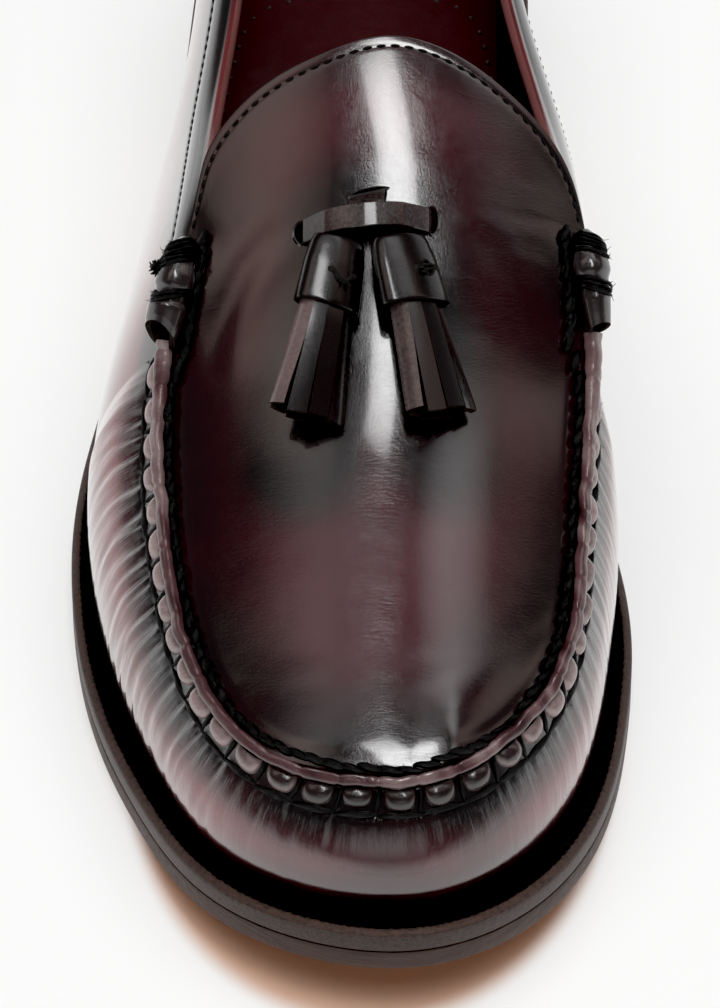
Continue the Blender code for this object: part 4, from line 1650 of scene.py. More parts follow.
    def trough(self, bm: Mesh) -> None:
        """Press the soft folds of the instep into the face.

        Args:
            bm: Face of apron and tongue.
        """
        layer = bm.verts.layers.float["push"]
        verts = [vert for vert in bm.verts if vert.co.y > -0.07]
        places = np.array([vert.co for vert in verts])[:, :2] / MM
        for fold in INSTEP_FOLDS:
            line = Curve(range(len(fold.line)), fold.line).read(np.linspace(0.0, len(fold.line) - 1.0, 61))
            gap = np.linalg.norm(places[:, None] - line[None], axis=2)
            fade = np.sin(np.linspace(0.0, math.pi, 61)) ** 0.6
            nearest = np.argmin(gap, axis=1)
            away = gap[np.arange(len(gap)), nearest]
            press = 0.6 * bell(away, 1.9 * fold.half, fold.half) - bell(away, 0.0, fold.half)
            for vert, rise in zip(verts, fold.depth * press * fade[nearest]):
                vert[layer] += rise

    def blacken(self, bm: Mesh) -> None:
        """Painted shade under and beside the tassels and the bow; also a darker patch on the medial instep.

        Args:
            bm: Face of apron and tongue.
        """
        rub = bm.verts.layers.float["rub"]
        lines = [(row.top, np.array(row.foot) - row.top) for row in TASSELS]
        for vert in bm.verts:
            place = np.array(vert.co)[:2] / MM
            away = min(np.linalg.norm(place - top - line * np.clip(np.dot(place - top, line)
                                                                   / np.sum(line ** 2), -0.1, 1.06))
                       for top, line in lines)
            medial = np.linalg.norm((place - self.dark_patch_middle) / self.dark_patch_half)
            # Painted shade along the tassels; the second factor darkens the medial patch.
            vert[rub] *= float(ease(6.0, 17.0, away)) * (1.0 - 0.6 * float(bell(medial, 0.0, 1.0)))

    def thicken(self, bm: Mesh) -> None:
        """Give the apron its wall, lining side and eased rim.

        Args:
            bm: Face of apron and tongue; the lining side takes the second finish.
        """
        made = bmesh.ops.solidify(bm, geom=bm.faces[:], thickness=self.apron_thick * MM)["geom"]
        for face in made:
            if isinstance(face, bmesh.types.BMFace):
                face.material_index = 1
        bm.normal_update()
        sharp = math.radians(60.0)
        rim = [edge for edge in bm.edges if edge.is_manifold and edge.calc_face_angle(0.0) > sharp]
        bmesh.ops.bevel(bm, geom=rim, offset=0.5 * MM, offset_type="OFFSET", segments=3, profile=0.5,
                        affect="EDGES", material=-1, clamp_overlap=True)


@dataclass
class Ground:
    """Face of the apron that bow, tassels and stitches lie on."""

    tree: BVHTree

    def seat(self, x: float, y: float) -> tuple[Array, Array]:
        """Point of the face over a plan place, and its direction outward."""
        hit = self.tree.ray_cast(Vector((x, y, 200.0)) * MM, Vector((0.0, 0.0, -1.0)))
        return np.array(hit[0]) / MM, np.array(hit[1])

    def near(self, place: Array) -> tuple[Array, Array]:
        """Nearest point of the face, and its direction outward."""
        hit = self.tree.find_nearest(Vector(place) * MM)
        return np.array(hit[0]) / MM, np.array(hit[1])


# ---------------------------------------------------------------- moccasin seam

@dataclass
class MoccasinSeam:
    """Raised lip of the apron, swells of the side below it, and the waxed thread on both sides."""

    last: Last
    seam: SeamLine
    lip_width: float = 1.08
    lip_height: float = 0.95
    lip_rise: float = 1.25
    lip_inward: float = 0.40
    inner_thread: float = 0.50
    outer_drop: float = 5.45
    petal_top: float = 0.9
    petal_tall: float = 4.4
    petal_thick: float = 1.45
    seed: int = 23

    def build(self) -> None:
        """Build the lip, the swells and both rows of thread."""
        Piece("seam_lip", self.lip_mesh(), (LIP_HIDE,), Slot.UPPER).place()
        Piece("seam_swells", self.petal_mesh(), (SWELL_HIDE,), Slot.UPPER, crisp=70.0).place()
        Piece("seam_thread_inner", self.inner_row(), (THREAD,), Slot.TRIM).place()
        Piece("seam_thread_outer", self.outer_row(), (THREAD,), Slot.TRIM).place()

    def open_run(self) -> Pair:
        """Stretch of the seam between the rolls."""
        hidden = self.last.roll_forward + self.last.roll_length - 4.0
        return hidden, self.seam.run[-1] - hidden

    def lip_mesh(self) -> Mesh:
        """Flat-topped lip, nicked at each stitch and slightly wavy.

        Returns:
            Mesh of the lip.
        """
        dice = np.random.default_rng(self.seed)
        start, end = self.open_run()
        run = np.linspace(start, end, self.seam.count * 14)
        frame = self.seam.frame(self.seam.at_run(run))
        phase = run / self.seam.pitch
        knots = np.arange(self.seam.count + 2)
        sway = np.interp(phase, knots - 0.5, dice.uniform(-0.42, 0.42, len(knots)))
        bob = np.interp(phase, knots - 0.5, dice.uniform(-0.25, 0.30, len(knots)))
        wave = 0.5 - 0.5 * np.cos(TURN * phase)
        nick = bell((phase + 0.5) % 1.0, 0.5, 0.07)
        slim = 1.0 - 0.26 * nick * np.interp(phase, knots, dice.uniform(0.2, 1.0, len(knots)))
        slim = slim * (1.0 + 0.55 * np.exp(-np.minimum(run - start, end - run) / 13.0))
        middle = (frame.point + frame.up * (self.lip_rise + bob * wave)[:, None]
                  + frame.side * (self.lip_inward + sway * wave)[:, None])
        bm = bmesh.new()
        angle = np.linspace(0.0, TURN, 25)
        square = (np.abs(np.cos(angle)) ** 3.2 + np.abs(np.sin(angle)) ** 3.2) ** (-1.0 / 3.2) - 1.0
        thirds = 3 * len(knots)
        uneven = np.interp(phase * 3.0, np.arange(thirds), dice.uniform(-1.0, 1.0, thirds))[:, None]
        lumps = (square[None] + 0.05 * np.sin(angle * 3.0 + phase[:, None] * 2.1)
                 + 0.14 * uneven * np.cos(angle + 2.0 * uneven))
        add_tube(bm, Frame(middle, frame.ahead, frame.side, frame.up), self.lip_width * slim,
                 self.lip_height * slim, 24, lumps)
        close_tubes(bm)
        layer = bm.verts.layers.float.new("rub")
        patches = dice.uniform(-0.05, 1.0, 90)
        places = np.linspace(-140.0, 60.0, len(patches))
        for vert in bm.verts:
            vert[layer] = float(np.interp(vert.co.x / MM + 0.7 * vert.co.y / MM, places, patches))
        return bm

    def on_side(self, run: Array, drop: Array, lift: Array) -> Array:
        """Places on the side leather close under the seam.

        Args:
            run: Lengths walked along the seam.
            drop: Distances below the seam.
            lift: Heights off the leather.

        Returns:
            One point for each place.
        """
        at = self.seam.at_run(run)
        top = self.last.seam(at)
        down = unit(self.last.wall(at, 0.86) - top)
        return top + down * drop[:, None] + self.side_out(at, down) * lift[:, None]

    def petal_mesh(self) -> Mesh:
        """Half-moon swells of the side between the stitches: flat under the lip, round below.

        Returns:
            Mesh of all swells.
        """
        dice = np.random.default_rng(self.seed + 3)
        bm = bmesh.new()
        start, end = self.open_run()
        ring = np.array([0.03, 0.34, 0.54, 0.67, 0.78, 0.88, 0.96, 1.0])
        height = np.array([1.0, 0.95, 0.86, 0.76, 0.63, 0.45, 0.18, -0.35])
        turn = np.linspace(0.0, math.pi, 17)
        for i in range(self.seam.count):
            middle = (i + 0.5 + dice.uniform(-0.03, 0.03)) * self.seam.pitch
            half = self.seam.pitch * dice.uniform(0.43, 0.48)
            flank = abs(float(self.last.flank(self.seam.at_run(np.array([middle])))[0]))
            tall = self.petal_tall * dice.uniform(0.84, 1.04)
            thick = dice.uniform(0.85, 1.1) * (1.0 + 0.5 * flank)
            tilt, lean = dice.uniform(-0.25, 0.25), dice.uniform(-0.16, 0.16)
            if not start + 4.0 < middle < end - 4.0:
                continue
            across = np.sign(np.cos(turn)) * np.abs(np.cos(turn)) ** 0.88 * half * ring[:, None]
            drop = np.abs(np.sin(turn)) ** 0.92 * tall * ring[:, None]
            lift = (height * self.petal_thick * thick)[:, None] * (1.0 + tilt * across / half)
            lift = lift * (0.66 + 0.48 * np.sin(math.pi * np.clip(drop / tall, 0.0, 1.0)))
            points = self.on_side((middle + across + lean * drop).ravel(), (self.petal_top + drop).ravel(),
                                  (lift - 0.35).ravel()).reshape(*across.shape, 3)
            # Painted highlight and reflection: paler rims and lower halves, and much paler swells on the flanks
            # where they face the bright surroundings.
            pale_share = 0.05 + 0.30 * ease(0.5, 0.9, ring)[:, None] + 0.12 * (drop / tall) + 0.80 * flank ** 1.5
            lay_grid(bm, points, rub=pale_share)
        close_ends(bm)
        return bm

    def inner_row(self) -> Mesh:
        """Two-ply thread lying in the bed beside the lip and on along the rolls, with its fuzz.

        Returns:
            Mesh of the row.
        """
        dice = np.random.default_rng(self.seed + 1)
        bm = bmesh.new()
        for half_step in range(2 * self.seam.count):
            run = (0.5 * half_step + np.array([-0.10, 0.64])) * self.seam.pitch
            ends = self.seam.at_run(np.clip(run, 0.0, self.seam.run[-1]))
            beside = 1.0 - float(self.last.gathered(ends).min())
            flank = abs(float(self.last.flank(ends)[0]))
            middle = self.inner_thread + 1.25 * flank + 2.6 * beside + dice.uniform(-0.18, 0.18)
            slope = dice.uniform(0.25, 0.62)
            start, up = self.seam.bed(ends, middle + slope)
            end, _ = self.seam.bed(ends, middle - slope)
            lift = up[0] * (0.25 + 0.30 * dice.uniform() + 0.7 * beside)
            first, second = start[0] + lift, end[1] + lift
            thick = (0.50 + 0.46 * flank) * dice.uniform(0.82, 1.18)
            add_spindle(bm, first, second, up[0], thick, 0.92 * thick, dice.uniform(0.0, TURN))
            for _ in range(7):
                root = first + (second - first) * dice.uniform(0.1, 0.9) + up[0] * 0.4
                way = dice.uniform(-1.0, 1.0, 3) + up[0] * 0.5
                add_hair(bm, root, way, dice.uniform(0.4, 1.1), 0.10, dice)
        return bm

    def outer_row(self) -> Mesh:
        """Stitches under the swells, and the strands that cross up to the lip between them.

        Returns:
            Mesh of the row.
        """
        dice = np.random.default_rng(self.seed + 2)
        bm = bmesh.new()
        start, end = self.open_run()
        for i in range(self.seam.count):
            if not start + 3.0 < (i + 0.5) * self.seam.pitch < end - 3.0:
                continue
            drop = self.outer_drop + dice.uniform(-0.25, 0.25, 2)
            run = (i + np.array([-0.06, 1.06])) * self.seam.pitch
            ends = self.on_side(run, drop, np.full(2, 0.05))
            up = unit(self.on_side(run, drop, np.ones(2)) - ends)[0]
            add_spindle(bm, ends[0], ends[1], up, dice.uniform(0.56, 0.76), dice.uniform(0.56, 0.72),
                        dice.uniform(0.0, TURN))
            run = (i + np.array([0.07, -0.07]) + dice.uniform(-0.05, 0.05, 2)) * self.seam.pitch
            ends = self.on_side(run, np.array([0.3, self.outer_drop + 0.3]), np.array([0.55, -0.1]))
            add_spindle(bm, ends[0], ends[1], up, 0.38, 0.42, dice.uniform(0.0, TURN))
            for _ in range(4):
                root = ends[1] + dice.uniform(-0.5, 0.5, 3) + up * 0.3
                add_hair(bm, root, dice.uniform(-1.0, 1.0, 3) + up * 0.3, dice.uniform(0.5, 1.2), 0.07, dice)
        return bm

    def side_out(self, at: Array, down: Array) -> Array:
        """Direction out of the side near the seam."""
        return facing(unit(np.cross(self.last.seam_way(at), down)), self.last.outward(at))


# ---------------------------------------------------------------- rolls

ROLL_RINGS = {
    Side.LATERAL: [RingRow(*row) for row in (
        (0.0, 3.15, 2.95), (0.08, 3.45, 3.2), (0.25, 3.6, 3.35), (0.55, 3.55, 3.35), (0.78, 3.45, 3.2),
        (0.90, 2.9, 2.6), (1.0, 1.0, 0.8),
    )],
    Side.MEDIAL: [RingRow(*row) for row in (
        (0.0, 2.1, 2.0), (0.12, 2.4, 2.3), (0.27, 2.7, 2.6), (0.36, 3.2, 3.0), (0.58, 3.5, 3.3),
        (0.78, 3.4, 3.2), (0.90, 2.8, 2.5), (1.0, 0.9, 0.8),
    )],
}


class WhippingRow(NamedTuple):
    """Whipping of a roll: side, place as a share of the length, and turns of thread."""

    side: Side
    place: float
    turns: int


@dataclass
class Rolls:
    """Rolled ends of the seam with their thread whippings."""

    last: Last
    seam: SeamLine
    radius: float = 3.4
    shorter: float = 2.2
    toe_inward: float = -0.3
    notch_inward: float = 1.9
    hollow: float = 3.4
    oblique: float = 2.3
    thread: float = 0.27
    slant: float = 1.35
    whippings: tuple[WhippingRow, ...] = (
        WhippingRow(Side.LATERAL, 0.40, 4), WhippingRow(Side.LATERAL, 0.82, 11),
        WhippingRow(Side.MEDIAL, 0.42, 6), WhippingRow(Side.MEDIAL, 0.82, 8))
    around: int = 40
    seed: int = 31

    def build(self) -> None:
        """Build both rolls and their whippings."""
        for side in Side:
            spine, name = self.spine(side), side.value
            Piece(f"rolled_end_{name}", self.roll_mesh(spine, side), (ROLL_HIDE, DARK_RAW), Slot.TRIM,
                  (f"roll_{name}",)).place()
            Piece(f"roll_whipping_{name}", self.whipping_mesh(spine, side), (THREAD,), Slot.TRIM).place()

    def spine(self, side: Side) -> Frame:
        """Middle line of a roll from its toe end to its notch end.

        Args:
            side: Side of the foot.

        Returns:
            The line and its directions.
        """
        last = self.last
        stretch = last.notch + last.roll_forward + np.linspace(last.roll_length - self.shorter, 0.0, 61)
        at = 2.0 * last.toe - stretch if side is Side.MEDIAL else stretch
        bed, out = self.seam.bed(at, np.linspace(self.toe_inward, self.notch_inward, 61))
        centre = bed + out * (self.radius + last.gap)
        return path_frame(centre, out)

    def outer_way(self, spine: Frame, side: Side) -> float:
        """One when the spine's side direction points off the shoe, minus one when it points in."""
        return float(np.sign(spine.side[0][0]) * (-1.0 if side is Side.LATERAL else 1.0))

    def roll_mesh(self, spine: Frame, side: Side) -> Mesh:
        """Rolled hide with a mouth cut slanting outward at the toe end.

        Args:
            spine: Middle line of the roll.
            side: Side of the foot.

        Returns:
            Closed mesh; the mouth takes the second finish.
        """
        share = np.linspace(0.0, 1.0, len(spine.point))
        wide, deep = read_rows(ROLL_RINGS[side], share)
        pull = np.zeros(len(share))
        for row in self.whippings:
            if row.side is side:
                away = np.abs(share - row.place) * self.last.roll_length / (row.turns * self.thread + 0.5)
                pull += 0.15 * ease(0.0, 1.0, 1.5 - away)
        wide, deep = wide * (1.0 - pull), deep * (1.0 - pull)
        shrink = np.array([0.10, 0.50, 0.58, 0.68])
        sink = np.array([self.hollow + 0.3, self.hollow, 1.0, 0.2])
        point = np.vstack([spine.point[0] + spine.ahead[0] * sink[:, None], spine.point])
        caps = len(shrink)
        frame = Frame(point, *(np.vstack([np.repeat(line[:1], caps, axis=0), line]) for line in spine[1:]))
        wide = np.concatenate([wide[0] * shrink, wide])
        deep = np.concatenate([deep[0] * shrink, deep])
        angle = np.linspace(0.0, TURN, self.around + 1)
        swell = 1.0 + 0.03 * np.sin(angle * 2.0 + 1.0) + 0.02 * np.sin(angle * 5.0)
        across = np.cos(angle) * wide[:, None] * swell
        through = np.sin(angle) * deep[:, None] * swell
        outer = self.outer_way(spine, side)
        slant = 1.0 if side is Side.LATERAL else 0.35
        tilt = self.oblique * (0.25 * outer * np.cos(angle) + np.sin(angle)) * slant
        early = 1.0 - ease(0.0, 0.35, np.concatenate([np.zeros(caps), share]))
        points = (frame.point[:, None] + frame.side[:, None] * across[..., None]
                  + frame.up[:, None] * through[..., None]
                  + frame.ahead[:, None] * (early[:, None] * tilt)[..., None])
        bm = bmesh.new()
        faces = lay_grid(bm, points, rub=np.full(points.shape[:2], 0.62))
        second_finish(faces, lambda i: i // self.around < caps)
        close_tubes(bm)
        return bm

    def whipping_mesh(self, spine: Frame, side: Side) -> Mesh:
        """Slanting coils of waxed thread round the roll, with fuzz, and on the lateral roll a frayed tuft on
        the outer side.

        Args:
            spine: Middle line of the roll.
            side: Side of the foot.

        Returns:
            Mesh of the coils.
        """
        dice = np.random.default_rng(self.seed if side is Side.LATERAL else self.seed + 1)
        share = np.linspace(0.0, 1.0, len(spine.point))
        wide, deep = read_rows(ROLL_RINGS[side], share)
        outer = self.outer_way(spine, side)
        bm = bmesh.new()
        for row in self.whippings:
            if row.side is not side:
                continue
            steps = row.turns * 26
            angle = np.linspace(0.0, TURN * row.turns, steps + 1) + 0.7
            drift = 0.45 * np.sin(angle * 0.53 + dice.uniform(0.0, TURN)) - self.slant * outer * np.cos(angle)
            coil = np.linspace(-0.5, 0.5, steps + 1) * row.turns * 1.9 * self.thread
            along = row.place + (coil + drift) / self.last.roll_length
            wander = 0.22 * np.sin(angle * 0.37 + dice.uniform(0.0, TURN))
            point, beside, up = (read_line(along, share, line)
                                 for line in (spine.point, spine.side, spine.up))
            across = np.interp(along, share, wide) * 0.88 + 0.75 * self.thread + wander
            through = np.interp(along, share, deep) * 0.88 + 0.75 * self.thread + wander
            path = (point + beside * (np.cos(angle) * across)[:, None]
                    + up * (np.sin(angle) * through)[:, None])
            out = unit(path - point)
            size = self.thread * (1.0 + 0.12 * np.sin(angle * 2.3 + dice.uniform(0.0, TURN)))
            ply = 0.14 * np.cos(2.0 * np.linspace(0.0, TURN, 9)[None] + 3.1 * angle[:, None])
            add_tube(bm, path_frame(path, out), size, size, 8, ply)
            for i in dice.integers(0, len(path), 12 * row.turns):
                add_hair(bm, path[i] + out[i] * 0.3, dice.uniform(-1.0, 1.0, 3) + out[i] * 0.4,
                         dice.uniform(0.3, 0.8), 0.09, dice)
        if side is Side.LATERAL:
            self.add_tuft(bm, spine, outer, dice)
        close_tubes(bm)
        return bm

    def add_tuft(self, bm: Mesh, spine: Frame, outer: float, dice: Dice) -> None:
        """Frayed strands where the whipping thread is cut off.

        Args:
            bm: Mesh that gets the strands.
            spine: Middle line of the roll.
            outer: Sign of the way off the shoe.
            dice: Source of their bends.
        """
        row = int(0.66 * len(spine.point))
        outward = spine.side[row] * outer
        root = spine.point[row] + outward * 3.5 + spine.up[row] * 0.8
        for _ in range(60):
            way = 0.7 * outward + dice.uniform(-0.6, 0.6, 3) - spine.ahead[row] * 0.7
            add_hair(bm, root + dice.uniform(-0.9, 0.9, 3), way, dice.uniform(0.6, 1.3), 0.42, dice)


# ---------------------------------------------------------------- bow

class StrapRow(NamedTuple):
    """Height of the strap off the instep at a share of its length."""

    share: float
    height: float


# Folded down steeply at both slits, almost straight between the shoulders.
STRAP = [StrapRow(*row) for row in (
    (0.0, -2.0), (0.045, 0.9), (0.205, 4.3), (0.26, 4.72), (0.32, 5.07), (0.40, 5.36), (0.49, 5.50),
    (0.58, 5.40), (0.66, 5.13), (0.72, 4.80), (0.77, 4.4), (0.955, 0.9), (1.0, -2.0),
)]


@dataclass
class Bow:
    """Strap arched from slit to slit over the instep, with the keeper loop behind it."""

    ground: Ground
    left: Pair = (-8.9, -29.9)
    right: Pair = (15.2, -28.4)
    keeper: Pair = (3.6, -24.4)
    width: float = 4.7
    thick: float = 1.3
    keeper_width: float = 6.9
    gap: float = 0.3
    pale_share: float = 0.57

    def build(self) -> None:
        """Build strap, keeper and slits."""
        path, along, lean = self.strap_path()
        strap = self.band(path, along, self.width)
        Piece("bow_strap", strap, (TRIM_HIDE, SLIT_DARK), Slot.TRIM, ("tassel_bow",), 14.0).place()
        keeper = self.keeper_path(path, lean)
        across = unit(np.array([1.0, 0.0, 0.0]) + 0.22 * along * np.sign(along[1]))
        Piece("bow_keeper", self.band(keeper, across, self.keeper_width), (TRIM_HIDE, SLIT_DARK), Slot.TRIM,
              ("tassel_bow",)).place()
        bm = bmesh.new()
        self.add_slit(bm, self.left, along, 2.1)
        self.add_slit(bm, self.right, along, 2.6)
        self.add_slit(bm, (self.keeper[0] - 0.2, self.keeper[1] + 0.7), across, 3.5, 0.7)
        Piece("bow_slits", bm, (HIDE, SLIT_DARK), Slot.UPPER).place()

    def strap_path(self) -> tuple[Array, Array, Array]:
        """Middle line of the strap.

        Returns:
            Its points, the direction of its width and the direction off the instep.
        """
        left, right = self.ground.seat(*self.left)[0], self.ground.seat(*self.right)[0]
        lean = self.ground.seat(0.5 * (left[0] + right[0]), left[1])[1]
        along = unit(np.cross(lean, np.array([1.0, 0.0, 0.0])))
        shares = np.linspace(0.0, 1.0, 89)
        height = np.interp(shares, [row.share for row in STRAP], [row.height for row in STRAP])
        path = [self.ground.seat(*(left + (right - left) * share)[:2])[0] + lean * rise
                for share, rise in zip(shares, height)]
        return np.array(path), along, lean

    def keeper_path(self, strap: Array, lean: Array) -> Array:
        """Middle line of the keeper, out of its slit and down behind the strap.

        Args:
            strap: Middle line of the strap.
            lean: Direction off the instep.

        Returns:
            Points of the line.
        """
        foot = self.ground.seat(*self.keeper)[0] + lean * (self.gap + 0.6)
        lower = strap[len(strap) // 2] - lean * 1.0
        high = 0.5 * (foot + lower) + lean * 3.6
        turn = np.linspace(0.0, 1.0, 25)[:, None]
        path = foot * (1.0 - turn) ** 2 + 2.0 * high * turn * (1.0 - turn) + lower * turn ** 2
        return np.vstack([foot - lean * 2.4 + np.array([0.0, 0.5, 0.0]), path])

    def band(self, path: Array, across: Array, width: float) -> Mesh:
        """Leather band with eased edges along a path.

        Args:
            path: Middle line.
            across: Direction of the width.
            width: Full width.

        Returns:
            Closed mesh; the cut edges take the second finish.
        """
        half, thick = width / 2.0, self.thick / 2.0
        corner = np.array([
            (-1.0, -0.35), (-0.97, -0.75), (-0.90, -1.0), (-0.5, -1.0), (0.0, -1.0), (0.5, -1.0),
            (0.90, -1.0), (0.97, -0.75), (1.0, -0.35), (1.0, 0.35), (0.97, 0.75), (0.90, 1.0), (0.5, 1.04),
            (0.0, 1.06), (-0.5, 1.04), (-0.90, 1.0), (-0.97, 0.75), (-1.0, 0.35), (-1.0, -0.35)])
        ahead = unit(np.gradient(path, axis=0))
        up = unit(np.cross(ahead, across))
        points = (path[:, None] + across * (corner[:, :1] * half)[None]
                  + up[:, None] * (corner[:, 1:] * thick)[None])
        bm = bmesh.new()
        faces = lay_grid(bm, points, rub=np.full(points.shape[:2], self.pale_share))
        cut = (0, 1, 7, 8, 9, 17)
        second_finish(faces, lambda i: i % (len(corner) - 1) in cut)
        close_tubes(bm)
        return bm

    def add_slit(self, bm: Mesh, place: Pair, along: Array, half: float, gape: float = 1.15) -> None:
        """Slit in the instep: a dark lens, painted shade for the opening, with a turned-up rim.

        Args:
            bm: Mesh that gets the slit.
            place: Plan place of its middle.
            along: Direction of its length.
            half: Half its length.
            gape: Half its opening.
        """
        middle, out = self.ground.seat(*place)
        along = unit(along - out * np.dot(along, out))
        across = np.cross(out, along)
        angle = np.linspace(0.0, TURN, 41)
        rings = []
        section = ((0.02, 0.10), (0.5, 0.10), (0.84, 0.12), (0.95, 0.30), (1.08, 0.34), (1.25, 0.16),
                   (1.55, -0.15))
        bow = np.sign(np.sin(angle)) * np.abs(np.sin(angle)) ** 1.3
        for reach, rise in section:
            lens = (np.cos(angle) * half * (reach * 0.5 + 0.5 * min(reach, 1.0)))[:, None] * along
            lens = lens + (bow * gape * reach)[:, None] * across
            rings.append([self.ground.near(middle + spot)[0] + out * rise for spot in lens])
        rings = np.array(rings)
        faces = lay_grid(bm, rings, rub=np.full(rings.shape[:2], 0.12))
        second_finish(faces, lambda i: i // (len(angle) - 1) < 3)
        weld(bm)


# ---------------------------------------------------------------- tassels

SLEEVE_RINGS = [RingRow(*row) for row in (
    (0.0, 4.5, 2.9), (0.04, 4.9, 3.1), (0.14, 5.4, 3.4), (0.36, 5.8, 3.7), (0.40, 5.8, 3.7),
)]
FRINGE_RINGS = [RingRow(*row) for row in (
    (0.28, 4.6, 2.6), (0.36, 4.9, 2.7), (0.42, 5.2, 2.9), (0.70, 6.0, 2.9), (1.0, 6.9, 2.8),
)]


class StripRow(NamedTuple):
    """One strip of the fringe: middle and width in degrees, splay, sway, twist, extra length, paleness."""

    middle: float
    span: float
    splay: float
    sway: float
    twist: float
    longer: float
    tone: float


STRIPS = [StripRow(*row) for row in (
    (160.0, 69.0, 0.05, 0.5, -0.12, -0.9, 0.95), (110.0, 32.0, 0.02, 0.1, 0.08, 0.2, 0.30),
    (75.5, 37.0, 0.00, 0.1, 0.06, -0.3, 0.22), (33.5, 47.0, 0.00, 0.0, -0.04, 0.1, 0.42),
    (-25.0, 70.0, 0.02, 0.0, 0.05, -0.4, 0.30), (-90.0, 60.0, -0.04, 0.0, 0.0, 0.2, 0.20),
    (-142.0, 45.0, 0.0, 0.0, 0.0, -0.3, 0.20),
)]


